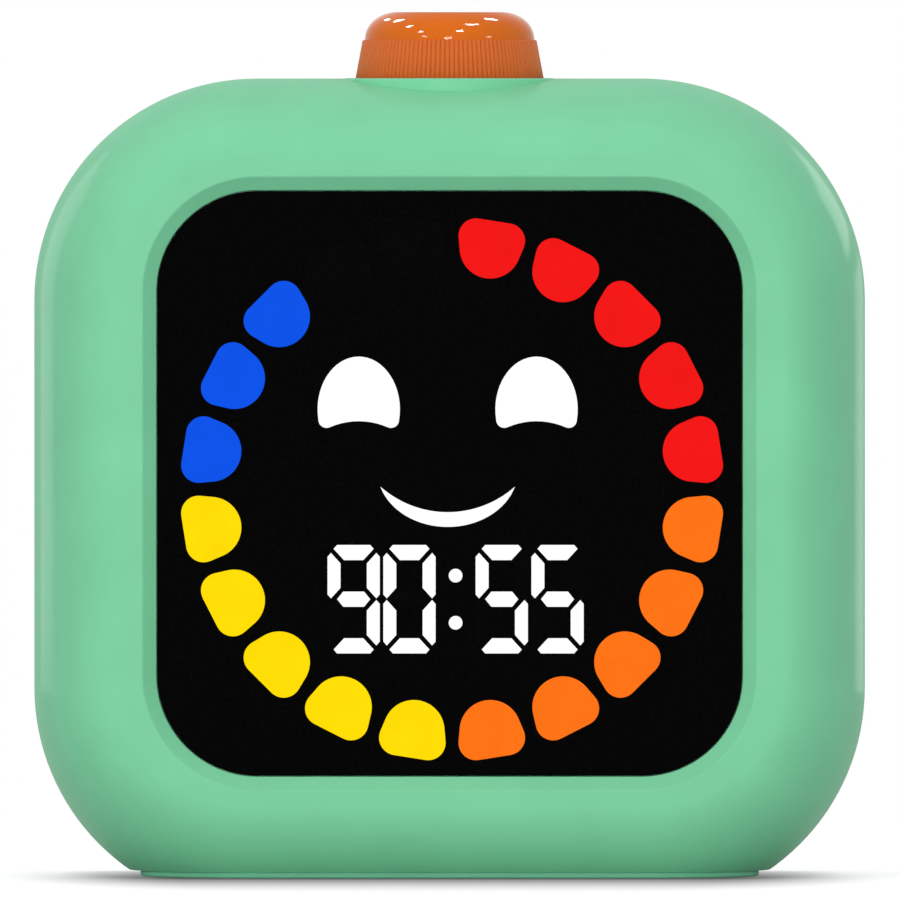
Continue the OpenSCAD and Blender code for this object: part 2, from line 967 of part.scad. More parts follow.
// Light source that stands on the front of the main board
module led(size) {
    translate([-size[0] / 2, -size[1] / 2, board_front])
        cube(size);
}

module ring_leds() {
    color(white)
        upright(panel_z)
            for (i = [0 : ring_count - 1])
                translate([ring_x, ring_y, 0])
                    rotate([0, 0, -(i + 0.5) * 360 / ring_count])
                        translate([0, ring_r, 0])
                            led(big_led);
}

module face_leds() {
    color(white)
        upright(panel_z)
            for (side = [-1, 1]) {
                translate([face_x + side * eye_spread, eye_y + big_led[1] / 2, 0])
                    led(big_led);
                translate([face_x + side * small_led[0], smile_y - smile_h + smile_led_rise, 0])
                    led(small_led);
            }
}

module digit_leds() {
    bar_y = digit_h / 2 - bar_t / 2;
    side_x = digit_w / 2 - upright_t / 2;
    side_y = (digit_h / 2 - upright_inset) / 2;
    color(white)
        upright(panel_z)
            translate([digits_x, digits_y, 0]) {
                for (i = [0 : 3])
                    translate([digit_place(i), 0, 0]) {
                        for (y = [-1, 0, 1])
                            translate([0, y * bar_y, 0])
                                led(small_led);
                        for (x = [-1, 1], y = [-1, 1])
                            translate([x * side_x, y * side_y, 0])
                                rotate([0, 0, 90])
                                    led(small_led);
                    }
                for (y = [-1, 1])
                    translate([0, y * colon_y, 0])
                        led(dot_led);
            }
}

// Box on the back of the main board, placed from the middle of the panel
module on_board_back(x, y, size) {
    upright(panel_z)
        translate([x - size[0] / 2, y - size[1] / 2, board_back - size[2]])
            cube(size);
}

module control_chips() {
    color(dark_plastic) {
        on_board_back(-chip_x, top_row_y, small_chip);
        on_board_back(chip_x, top_row_y, large_chip);
    }
}

module board_sockets() {
    color(white) {
        on_board_back(0, top_row_y, ribbon_socket);
        on_board_back(-side_socket_x, cell_h / 2 + lead_rise + wire_bend, wire_socket);
        on_board_back(side_socket_x, speaker_rise, wire_socket);
        on_board_back(0, link_z - panel_z, link_socket);
    }
}

module board_screws() {
    color(steel)
        at_board_screws()
            screw(-board_back, board_head, board_shank);
}

// Encoder under the knob

// Shaft section with one flat
module flat_round(r, flat) {
    intersection() {
        circle(r = r);
        translate([-2 * r, -2 * r])
            square([2 * r + flat, 4 * r]);
    }
}

module encoder_bush() {
    bore = shaft_d / 2 + run_gap;
    color(steel)
        difference() {
            union() {
                translate([-case_w / 2, -case_w / 2, case_top - plate_t])
                    cube([case_w, case_w, plate_t]);
                translate([0, 0, case_top - plate_t])
                    cylinder(r = bush_r, h = bush_top - case_top + plate_t);
            }
            translate([0, 0, case_top - plate_t - over])
                cylinder(r = bore, h = bush_top - case_top + plate_t + 2 * over);
        }
}

module encoder_case() {
    color(dark_plastic)
        difference() {
            translate([-case_w / 2, -case_w / 2, case_z])
                cube([case_w, case_w, case_h]);
            translate([0, 0, rotor_z - case_gap])
                cylinder(r = rotor_r + case_gap, h = case_h);
            translate([0, 0, dome_z])
                cylinder(r = max(plunger_r, shaft_d / 2) + case_gap, h = case_h);
        }
}

// Places copies at the five encoder pins
module at_pins() {
    for (x = [-1, 0, 1])
        translate([x * pin_pitch, case_w / 2 - pin_inset, 0])
            children();
    for (x = [-1, 1])
        translate([x * pin_pitch, pin_inset - case_w / 2, 0])
            children();
}

module encoder_pins() {
    color(brass)
        at_pins()
            translate([0, 0, case_z - board_t - pin_out])
                cylinder(r = pin_r, h = board_t + pin_out);
}

module encoder_board() {
    color(board_green)
        difference() {
            translate([-small_board[0] / 2, -small_board[1] / 2, case_z - board_t])
                cube([small_board[0], small_board[1], board_t]);
            at_pins()
                translate([0, 0, case_z - board_t - over])
                    cylinder(r = pin_r + pin_gap, h = board_t + 2 * over);
        }
}

module encoder_washer() {
    color(steel)
        translate([0, 0, shelf_z])
            difference() {
                cylinder(r = washer_r, h = washer_t);
                translate([0, 0, -over])
                    cylinder(r = bush_r + bush_gap, h = washer_t + 2 * over);
            }
}

module encoder_nut() {
    color(steel)
        translate([0, 0, shelf_z + washer_t])
            difference() {
                cylinder(r = nut_af / 2 / cos(30), h = nut_t, $fn = 6);
                translate([0, 0, -over])
                    cylinder(r = bush_r + run_gap, h = nut_t + 2 * over);
            }
}

module detent_ring() {
    color(steel)
        translate([0, 0, case_top - plate_t - detent_t])
            difference() {
                cylinder(r = rotor_r, h = detent_t);
                translate([0, 0, -over])
                    cylinder(r = shaft_d / 2 + case_gap, h = detent_t + 2 * over);
            }
}

module encoder_rotor() {
    color(brass)
        translate([0, 0, rotor_z])
            difference() {
                cylinder(r = rotor_r, h = rotor_t);
                translate([0, 0, -over])
                    linear_extrude(rotor_t + 2 * over)
                        flat_round(shaft_d / 2 + run_gap, shaft_flat + run_gap);
                for (i = [0 : detents - 1])
                    rotate([0, 0, i * 360 / detents])
                        translate([rotor_r - notch_len, -notch_w / 2, rotor_t - notch_depth])
                            cube([notch_len + over, notch_w, notch_depth + over]);
            }
}

module push_plunger() {
    color(dark_plastic)
        translate([0, 0, plunger_z])
            cylinder(r = plunger_r, h = plunger_t - shell_fit);
}

module switch_dome() {
    dome_t = 0.15;
    ball_r = (plunger_r * plunger_r + dome_h * dome_h) / (2 * dome_h);
    color(steel)
        intersection() {
            translate([0, 0, plunger_z - ball_r])
                difference() {
                    sphere(r = ball_r);
                    sphere(r = ball_r - dome_t);
                }
            above(dome_z);
        }
}

module encoder_shaft() {
    neck_z = case_top - plate_t;
    upper_z = bush_top + knob_travel;
    color(steel)
        difference() {
            translate([0, 0, shaft_foot])
                cylinder(r = shaft_d / 2, h = shaft_top - shaft_foot);
            translate([shaft_flat, -shaft_d, shaft_foot - over])
                cube([shaft_d, 2 * shaft_d, neck_z - shaft_foot + over]);
            translate([shaft_flat, -shaft_d, upper_z])
                cube([shaft_d, 2 * shaft_d, shaft_top - upper_z + over]);
        }
}

// Knob

module knob_skirt() {
    full_h = skirt_h + skirt_sink;
    lean = atan(skirt_slope);
    skirt_wall = 1.8;
    groove = rib_depth * sqrt(2);
    color(knob_orange)
        difference() {
            union() {
                translate([0, 0, skirt_foot_z])
                    cylinder(r1 = skirt_foot_r, r2 = skirt_top_r, h = full_h);
                translate([0, 0, hub_z])
                    cylinder(r = core_r, h = core_top - hub_z);
            }
            translate([0, 0, skirt_foot_z - over])
                cylinder(r = skirt_foot_r - skirt_wall, h = hub_z - skirt_foot_z + over);
            translate([0, 0, hub_z - over])
                linear_extrude(shaft_top + shell_fit - hub_z + over)
                    flat_round(shaft_d / 2 + shell_fit, shaft_flat + shell_fit);
            for (i = [0 : rib_count - 1])
                rotate([0, 0, i * 360 / rib_count])
                    translate([skirt_foot_r, 0, skirt_foot_z])
                        rotate([0, -lean, 0])
                            rotate([0, 0, 45])
                                translate([-groove / 2, -groove / 2, -over])
                                    cube([groove, groove, full_h + 2 * over]);
        }
}

module knob_cap() {
    foot = skirt_top_z;
    color(cap_orange)
        rotate_extrude()
            polygon(concat([[core_r + run_gap, foot]],
                arc(cap_r - cap_round, foot, cap_round, cap_h, 0, 90, curve_steps),
                [[0, foot + cap_h], [0, core_top + run_gap], [core_r + run_gap, core_top + run_gap]]));
}

// Power and sound

module foam_pad() {
    color(smoke)
        upright(panel_z)
            translate([foam_margin - cell_w / 2, foam_margin - cell_h / 2, board_back - foam_t])
                cube([cell_w - 2 * foam_margin, cell_h - 2 * foam_margin, foam_t]);
}

module battery_cell() {
    color(silver_foil)
        upright(panel_z)
            round_plate(cell_w, cell_h, cell_r, board_back - foam_t - cell_t, board_back - foam_t);
}

module battery_lead() {
    color(red)
        upright(panel_z)
            for (side = [-1, 1])
                translate([-battery_lead_x, cell_h / 2, board_back - lead_depth + side * wire_gap])
                    rotate([0, 0, 90])
                        bent_wire(lead_rise, wire_bend,
                            side_socket_x - wire_socket[0] / 2 - battery_lead_x - wire_bend);
}

// Speaker, drawn with its axis upwards and turned to face backwards
module speaker_place() {
    translate([0, speaker_y, speaker_z])
        rotate([90, 0, 0])
            children();
}

module speaker_frame() {
    inside = speaker_r - frame_w;
    color(dark_plastic)
        speaker_place()
            rotate_extrude()
                polygon([[inside, 0], [speaker_r, 0], [speaker_r, speaker_depth],
                    [frame_hole_r, speaker_depth], [frame_hole_r, speaker_depth - frame_t],
                    [inside, speaker_depth - frame_t]]);
}

module speaker_cone() {
    rim = speaker_r - frame_w - run_gap;
    color(smoke)
        speaker_place()
            rotate_extrude()
                polygon([[0, cone_rise], [cone_flat_r, cone_rise], [rim, cone_t], [rim, 2 * cone_t],
                    [cone_flat_r, cone_rise + cone_t], [0, cone_rise + cone_t]]);
}

module speaker_magnet() {
    color(steel)
        speaker_place()
            translate([0, 0, speaker_depth])
                cylinder(r = magnet_r, h = magnet_depth);
}

module speaker_lead() {
    lead_x = magnet_r + 1;
    lead_y = speaker_y - speaker_depth - wire_r;
    color(black)
        for (side = [-1, 1])
            translate([lead_x, lead_y, speaker_z + side * wire_gap])
                mirror([0, 1, 0])
                    bent_wire(side_socket_x - lead_x - wire_bend, wire_bend,
                        lead_y - wire_bend + board_back - wire_socket[2]);
}

// Rear board with charging socket and volume switch

module rear_board() {
    color(board_green)
        difference() {
            translate([-rear_board_w / 2, rear_board_y - board_t, rear_board_z - rear_board_h / 2])
                cube([rear_board_w, board_t, rear_board_h]);
            at_rear_screws()
                depth_bar(rear_shank[0] + screw_hole_gap, rear_board_y - board_t - over,
                    rear_board_y + over);
        }
}

// Moves right, up and backward axes to a place on the rear board
module on_rear_board(x) {
    translate([x, rear_board_y, rear_board_z])
        rotate([90, 0, 180])
            children();
}

module usb_shell() {
    color(steel)
        on_rear_board(usb_x)
            difference() {
                round_plate(usb_w, usb_h, usb_r, 0, usb_len);
                round_plate(usb_w - 2 * usb_wall, usb_h - 2 * usb_wall, usb_r - usb_wall, -over,
                    usb_len + over);
            }
}

module usb_tongue() {
    inset = usb_wall + run_gap;
    color(dark_plastic)
        on_rear_board(usb_x) {
            round_plate(usb_w - 2 * inset, usb_h - 2 * inset, usb_r - inset, 0, tongue_foot);
            translate([-tongue_w / 2, -tongue_t / 2, tongue_foot])
                cube([tongue_w, tongue_t, usb_len - tongue_foot - tongue_short]);
        }
}

module volume_switch() {
    slot_w = lever_w + 2 * (volume_travel + lever_gap);
    slot_h = lever_h + 2 * lever_gap;
    color(steel)
        on_rear_board(volume_x)
            difference() {
                translate([-switch_size[0] / 2, -switch_size[1] / 2, 0])
                    cube(switch_size);
                translate([-slot_w / 2, -slot_h / 2, switch_floor])
                    cube([slot_w, slot_h, switch_size[2]]);
            }
}

module volume_slider() {
    foot = switch_floor + lever_lift;
    tip = usb_len - lever_inset;
    color(black)
        on_rear_board(volume_x)
            difference() {
                translate([-lever_w / 2, -lever_h / 2, foot])
                    cube([lever_w, lever_h, tip - foot]);
                for (i = [-1 : 1])
                    translate([i * ridge_pitch - ridge_gap / 2, -lever_h, tip - ridge_depth])
                        cube([ridge_gap, 2 * lever_h, over]);
            }
}

module rear_board_screws() {
    color(steel)
        at_rear_screws()
            translate([0, rear_board_y - board_t, 0])
                mirror([0, 1, 0])
                    screw(0, rear_head, rear_shank);
}

module link_cable() {
    from = link_socket[2] - board_back;
    color(smoke)
        translate([-cable_w / 2, from, link_z - cable_t / 2])
            cube([cable_w, rear_board_y - board_t - from, cable_t]);
}

module encoder_ribbon() {
    socket_z = panel_z + top_row_y;
    from = ribbon_socket[2] - board_back;
    run = max(ribbon_run, ribbon_y - from - ribbon_bend);
    drop = case_z - board_t - socket_z - ribbon_bend;
    color(smoke)
        translate([-ribbon_w / 2, from, socket_z]) {
            translate([0, 0, -cable_t / 2])
                cube([ribbon_w, run, cable_t]);
            translate([ribbon_w, run, ribbon_bend])
                rotate([0, -90, 0])
                    rotate([0, 0, 90])
                        rotate_extrude(angle = 90)
                            translate([ribbon_bend - cable_t / 2, 0])
                                square([cable_t, ribbon_w]);
            translate([0, run + ribbon_bend - cable_t / 2, ribbon_bend])
                cube([ribbon_w, cable_t, drop]);
        }
}

module cover_screws() {
    color(steel)
        at_cover_screws()
            screw(cover_seat, cover_head, cover_shank);
}

front_housing();
rear_cover();
base_pad();
display_panel();
panel_tape();
red_windows();
orange_windows();
yellow_windows();
blue_windows();
unlit_windows();
eye_windows();
smile_window();
digit_windows();
colon_windows();
light_reflector();
main_board();
ring_leds();
face_leds();
digit_leds();
control_chips();
board_sockets();
board_screws();
encoder_bush();
encoder_case();
encoder_pins();
encoder_board();
encoder_washer();
encoder_nut();
detent_ring();
encoder_rotor();
push_plunger();
switch_dome();
encoder_shaft();
knob_skirt();
knob_cap();
foam_pad();
battery_cell();
battery_lead();
speaker_frame();
speaker_cone();
speaker_magnet();
speaker_lead();
rear_board();
usb_shell();
usb_tongue();
volume_switch();
volume_slider();
rear_board_screws();
link_cable();
encoder_ribbon();
cover_screws();
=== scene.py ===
"""Countdown timer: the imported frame, dressed with modelled shells, a ribbed knob and finishes."""
import json
import logging
import math
from dataclasses import dataclass
from enum import Enum
from typing import Callable, Iterable

import bmesh
import bpy
from mathutils import Matrix, Vector


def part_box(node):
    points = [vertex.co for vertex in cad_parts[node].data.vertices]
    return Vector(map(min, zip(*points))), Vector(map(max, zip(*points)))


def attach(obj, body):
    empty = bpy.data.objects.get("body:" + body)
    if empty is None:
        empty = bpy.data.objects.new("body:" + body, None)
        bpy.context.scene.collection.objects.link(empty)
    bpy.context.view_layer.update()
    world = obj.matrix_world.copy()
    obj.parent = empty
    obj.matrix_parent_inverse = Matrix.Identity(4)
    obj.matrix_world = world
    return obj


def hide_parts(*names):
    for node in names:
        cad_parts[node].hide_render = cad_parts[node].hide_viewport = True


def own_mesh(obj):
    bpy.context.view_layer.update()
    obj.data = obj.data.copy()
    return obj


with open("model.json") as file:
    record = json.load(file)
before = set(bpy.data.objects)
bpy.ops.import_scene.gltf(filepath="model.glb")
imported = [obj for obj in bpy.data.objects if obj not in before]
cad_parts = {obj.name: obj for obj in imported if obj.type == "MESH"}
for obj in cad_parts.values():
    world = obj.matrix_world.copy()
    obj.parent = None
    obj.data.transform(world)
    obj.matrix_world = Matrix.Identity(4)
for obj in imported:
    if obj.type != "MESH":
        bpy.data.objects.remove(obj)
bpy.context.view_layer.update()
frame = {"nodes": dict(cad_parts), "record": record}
MM = 0.001
# Millimetres that several sub-assemblies share
HALF_DEPTH = 21.0
BODY_MIDDLE = 39.0
WALL = 2.0
# Edges sharper than this many degrees stay crisp
CREASE = 30.0
# Turns in radians where a quarter of a circle starts and ends
QUARTER = (0.0, math.pi / 2)
# Curve from screen values to linear light: its straight foot and the power above it
FOOT_END = 0.04045
FOOT_SLOPE = 12.92
CURVE_LIFT = 0.055
CURVE_POWER = 2.4
log = logging.getLogger("timer")

Colour = tuple[float, float, float, float]
Place = tuple[float, float, float]
Pair = tuple[float, float]
Piece = bpy.types.Object
Material = bpy.types.Material
Socket = bpy.types.NodeSocket
Operand = float | Socket


def paint(code: str) -> Colour:
    """Turns a colour code into the linear values that shaders take.

    Args:
        code: Six hexadecimal digits after a hash sign.

    Returns:
        Red, green, blue and full alpha.
    """
    parts = [int(code[i:i + 2], 16) / 255 for i in (1, 3, 5)]
    linear = [p / FOOT_SLOPE if p <= FOOT_END else ((p + CURVE_LIFT) / (1 + CURVE_LIFT)) ** CURVE_POWER
              for p in parts]
    return (linear[0], linear[1], linear[2], 1.0)


def toned(colour: Colour, factor: float) -> Colour:
    """Makes a colour darker or lighter by a factor."""
    return (colour[0] * factor, colour[1] * factor, colour[2] * factor, 1.0)


def metres(place: Iterable[float]) -> list[float]:
    """Turns a place in millimetres into metres."""
    return [c * MM for c in place]


def arc(centre: Pair, half: Pair, ends: Pair, steps: int) -> list[Pair]:
    """Lists points along part of an ellipse.

    Args:
        centre: Outward and upward place of its middle.
        half: Its half axes, outward and upward.
        ends: Turns in radians where the points start and end, counted from outward to upward.
        steps: Number of steps between the points.

    Returns:
        Outward and upward place of each point.
    """
    start, stop = ends
    turns = [start + (stop - start) * k / steps for k in range(steps + 1)]
    return [(centre[0] + half[0] * math.cos(turn), centre[1] + half[1] * math.sin(turn)) for turn in turns]


class Facing(Enum):
    """Turn of a new plane about the sideways axis, named by the way it looks."""

    FRONT = math.pi / 2
    BACK = -math.pi / 2
    UP = 0.0
    DOWN = math.pi


class Joining(Enum):
    """Ways to combine two closed shapes."""

    ADD = "UNION"
    CUT = "DIFFERENCE"


class Sum(Enum):
    """Sums that a shader works out from two values."""

    LESS = "SUBTRACT"
    TIMES = "MULTIPLY"
    OVER = "DIVIDE"
    RAISED = "POWER"
    LEAST = "MINIMUM"
    MOST = "MAXIMUM"
    SIZE = "ABSOLUTE"


class Slope(Enum):
    """Shapes of a run between two values."""

    EVEN = "LINEAR"
    SOFT = "SMOOTHSTEP"


class Bench:
    """Edit-mode tools that the sub-assemblies share; their limits of nearness are in millimetres."""

    ROUND = 0.5
    EDGE_SEGMENTS = 2
    CUT_NEAR = 0.0001
    MERGE_NEAR = 0.0005
    FACE_LEAD = 80

    @staticmethod
    def clear() -> None:
        """Leaves no object selected."""
        bpy.ops.object.select_all(action="DESELECT")

    @staticmethod
    def only(piece: Piece) -> None:
        """Selects one piece alone and makes it the active one.

        Args:
            piece: Piece to select.
        """
        Bench.clear()
        piece.select_set(True)
        bpy.context.view_layer.objects.active = piece

    @staticmethod
    def edit(piece: Piece) -> None:
        """Opens one piece in edit mode with nothing else selected."""
        Bench.only(piece)
        bpy.ops.object.mode_set(mode="EDIT")

    @staticmethod
    def open_new(name: str) -> Piece:
        """Opens the newest object in edit mode, with its place in its mesh.

        Args:
            name: Name that the object gets.

        Returns:
            The object, in edit mode.
        """
        piece = bpy.context.object
        piece.name = name
        bpy.ops.object.transform_apply(location=True, rotation=True, scale=True)
        bpy.ops.object.mode_set(mode="EDIT")
        return piece

    @staticmethod
    def pick_all(kind: str) -> None:
        """Selects every point, edge or face of the piece in edit mode."""
        bpy.ops.mesh.select_mode(type=kind)
        bpy.ops.mesh.select_all(action="SELECT")

    @staticmethod
    def pick_points(piece: Piece, test: Callable[[Vector], bool]) -> None:
        """Selects the points of a piece in edit mode that pass a test of their place.

        Args:
            piece: Piece that is open in edit mode.
            test: Says for a place whether the point there is wanted.
        """
        bpy.ops.mesh.select_mode(type="VERT")
        bpy.ops.mesh.select_all(action="DESELECT")
        mesh = bmesh.from_edit_mesh(piece.data)
        for point in mesh.verts:
            point.select = test(point.co)
        mesh.select_flush(True)
        bmesh.update_edit_mesh(piece.data)

    @staticmethod
    def plate(name: str, size: Pair, radius: float, centre: Place, facing: Facing, segments: int) -> Piece:
        """Adds a flat plate with round corners and leaves its face selected in edit mode.

        Args:
            name: Name of the new object.
            size: Width and height in millimetres.
            radius: Corner radius in millimetres.
            centre: Middle of the plate in millimetres.
            facing: Side that the plate looks to.
            segments: Segments round each corner.

        Returns:
            The new object, open in edit mode.
        """
        Bench.clear()
        bpy.ops.mesh.primitive_plane_add(size=1, location=metres(centre), rotation=(facing.value, 0, 0))
        bpy.context.object.scale = (size[0] * MM, size[1] * MM, 1)
        piece = Bench.open_new(name)
        bpy.ops.mesh.select_all(action="SELECT")
        bpy.ops.mesh.bevel(offset=radius * MM, segments=segments, profile=Bench.ROUND, affect="VERTICES")
        Bench.pick_all("FACE")
        return piece

    @staticmethod
    def push(move: Place) -> None:
        """Extrudes what is selected by a move in millimetres."""
        bpy.ops.mesh.extrude_region_move(TRANSFORM_OT_translate={"value": metres(move)})

    @staticmethod
    def step(inward: float, outward: float) -> None:
        """Insets the selected face and moves it along its normal, both in millimetres."""
        bpy.ops.mesh.inset(thickness=inward * MM, depth=outward * MM)

    @staticmethod
    def quarter(wide: float, deep: float, steps: int) -> None:
        """Rounds the selected face over a quarter ellipse with a run of insets.

        Args:
            wide: Half axis across the face in millimetres.
            deep: Half axis along its normal in millimetres.
            steps: Number of insets.
        """
        turn = math.pi / 2 / steps
        for k in range(steps):
            Bench.step(wide * (math.cos(k * turn) - math.cos((k + 1) * turn)),
                       deep * (math.sin((k + 1) * turn) - math.sin(k * turn)))

    @staticmethod
    def trim(height: float) -> None:
        """Cuts everything below a height off flat, in millimetres, and closes the cut."""
        bpy.ops.mesh.select_all(action="SELECT")
        bpy.ops.mesh.bisect(plane_co=(0, 0, height * MM), plane_no=(0, 0, 1), use_fill=True,
                            clear_inner=True, threshold=Bench.CUT_NEAR * MM)

    @staticmethod
    def soften(piece: Piece, test: Callable[[Vector], bool], width: float) -> None:
        """Rounds the edges whose two ends pass a test of their place.

        Args:
            piece: Piece that is open in edit mode.
            test: Says for a place whether an end there is wanted.
            width: Width of the rounding in millimetres.
        """
        Bench.pick_points(piece, test)
        bpy.ops.mesh.select_mode(type="EDGE")
        bpy.ops.mesh.bevel(offset=width * MM, segments=Bench.EDGE_SEGMENTS, profile=Bench.ROUND,
                           affect="EDGES")

    @staticmethod
    def seal(piece: Piece) -> Piece:
        """Merges doubled points, turns the faces outwards and leaves edit mode.

        Args:
            piece: Closed piece that is open in edit mode.

        Returns:
            The same piece in object mode.
        """
        bpy.ops.mesh.select_all(action="SELECT")
        bpy.ops.mesh.remove_doubles(threshold=Bench.MERGE_NEAR * MM)
        bpy.ops.mesh.normals_make_consistent(inside=False)
        bpy.ops.object.mode_set(mode="OBJECT")
        return piece

    @staticmethod
    def turned(name: str, profile: list[Pair], centre: Place = (0, 0, 0), segments: int = 96) -> Piece:
        """Builds a round piece from rings drawn up one after another.

        Args:
            name: Name of the new object.
            profile: Radius and height of each ring in millimetres, the last and first closed flat.
            centre: Foot of the axis in millimetres.
            segments: Points in each ring.

        Returns:
            The closed piece, in object mode.
        """
        Bench.clear()
        across, along, foot = centre
        radius, height = profile[0]
        bpy.ops.mesh.primitive_circle_add(vertices=segments, radius=radius * MM, fill_type="NGON",
                                          location=metres((across, along, foot + height)))
        piece = Bench.open_new(name)
        Bench.pick_all("FACE")
        for after_radius, after_height in profile[1:]:
            Bench.push((0, 0, after_height - height))
            scale = after_radius / radius
            if scale != 1:
                bpy.ops.transform.resize(value=(scale, scale, 1),
                                         center_override=metres((across, along, foot + after_height)))
            radius, height = after_radius, after_height
        return Bench.seal(piece)

    @staticmethod
    def along_depth(piece: Piece, centre: Place) -> Piece:
        """Lays a piece turned about the upright axis along the depth, its top towards the back.

        Args:
            piece: Piece with its axis at the origin.
            centre: New place of its foot in millimetres.

        Returns:
            The same piece with the turn in its mesh.
        """
        Bench.only(piece)
        piece.rotation_euler = (-math.pi / 2, 0, 0)
        piece.location = metres(centre)
        bpy.ops.object.transform_apply(location=True, rotation=True, scale=True)
        return piece

    @staticmethod
    def modify(piece: Piece, kind: str, **values: object) -> None:
        """Adds a modifier to a piece, sets it and applies it.

        Args:
            piece: Piece to change.
            kind: Modifier type.
            values: Property values by name.
        """
        Bench.only(piece)
        bpy.ops.object.modifier_add(type=kind)
        tool = piece.modifiers[-1]
        for key, value in values.items():
            setattr(tool, key, value)
        bpy.ops.object.modifier_apply(modifier=tool.name)

    @staticmethod
    def combine(piece: Piece, joining: Joining, *others: Piece) -> None:
        """Adds closed shapes to a piece or cuts them out, one after another, and removes them.

        Args:
            piece: Piece that stays.
            joining: Whether the shapes are added or cut out.
            others: Closed shapes that are used up.
        """
        for other in others:
            Bench.modify(piece, "BOOLEAN", operation=joining.value, solver="EXACT", object=other)
            bpy.data.objects.remove(other, do_unlink=True)

    @staticmethod
    def smooth(piece: Piece, angle: float = CREASE) -> None:
        """Shades a piece smooth up to an edge angle in degrees, led by its larger faces.

        Args:
            piece: Finished mesh.
            angle: Edges sharper than this stay crisp.
        """
        Bench.only(piece)
        bpy.ops.object.shade_smooth_by_angle(angle=math.radians(angle))
        Bench.modify(piece, "WEIGHTED_NORMAL", keep_sharp=True, weight=Bench.FACE_LEAD)


class Wiring:
    """Node tree, with the nodes that the materials and the room's light share."""

    def __init__(self, tree: bpy.types.NodeTree) -> None:
        """Takes a node tree over."""
        self.tree = tree

    def add(self, kind: str, **values: object) -> bpy.types.Node:
        """Adds a node and sets its plain properties.

        Args:
            kind: Node type.
            values: Property values by name.

        Returns:
            The new node.
        """
        node = self.tree.nodes.new(kind)
        for key, value in values.items():
            setattr(node, key, value)
        return node

    def join(self, start: Socket, end: Socket) -> None:
        """Links two sockets."""
        self.tree.links.new(start, end)

    def reckon(self, kind: Sum, first: Operand, second: Operand = 0.0) -> Socket:
        """Works out a sum of two values.

        Args:
            kind: Kind of sum.
            first: Socket or number.
            second: Socket or number.

        Returns:
            The result.
        """
        node = self.add("ShaderNodeMath", operation=kind.value)
        for source, end in zip((first, second), node.inputs):
            if isinstance(source, float):
                end.default_value = source
            else:
                self.join(source, end)
        return node.outputs[0]

    def run(self, value: Socket, ends: Pair, levels: Pair = (0.0, 1.0),
            slope: Slope = Slope.SOFT) -> Socket:
        """Runs from one level to another between two values.

        Args:
            value: Value socket.
            ends: Values where the run starts and ends.
            levels: Results at the two ends.
            slope: Shape of the run.

        Returns:
            The run.
        """
        node = self.add("ShaderNodeMapRange", interpolation_type=slope.value)
        node.inputs["From Min"].default_value, node.inputs["From Max"].default_value = ends
        node.inputs["To Min"].default_value, node.inputs["To Max"].default_value = levels
        self.join(value, node.inputs["Value"])
        return node.outputs["Result"]

    def rest(self, share: Socket) -> Socket:
        """Gives what a share leaves of one."""
        return self.reckon(Sum.LESS, 1.0, share)

    def background(self) -> Socket:
        """Marks what the camera sees, by itself, in a mirror or through glass.

        Returns:
            One for such a ray, otherwise nothing.
        """
        path = self.add("ShaderNodeLightPath")
        seen = path.outputs["Is Camera Ray"]
        for other in ("Is Glossy Ray", "Is Transmission Ray"):
            seen = self.reckon(Sum.MOST, seen, path.outputs[other])
        return seen


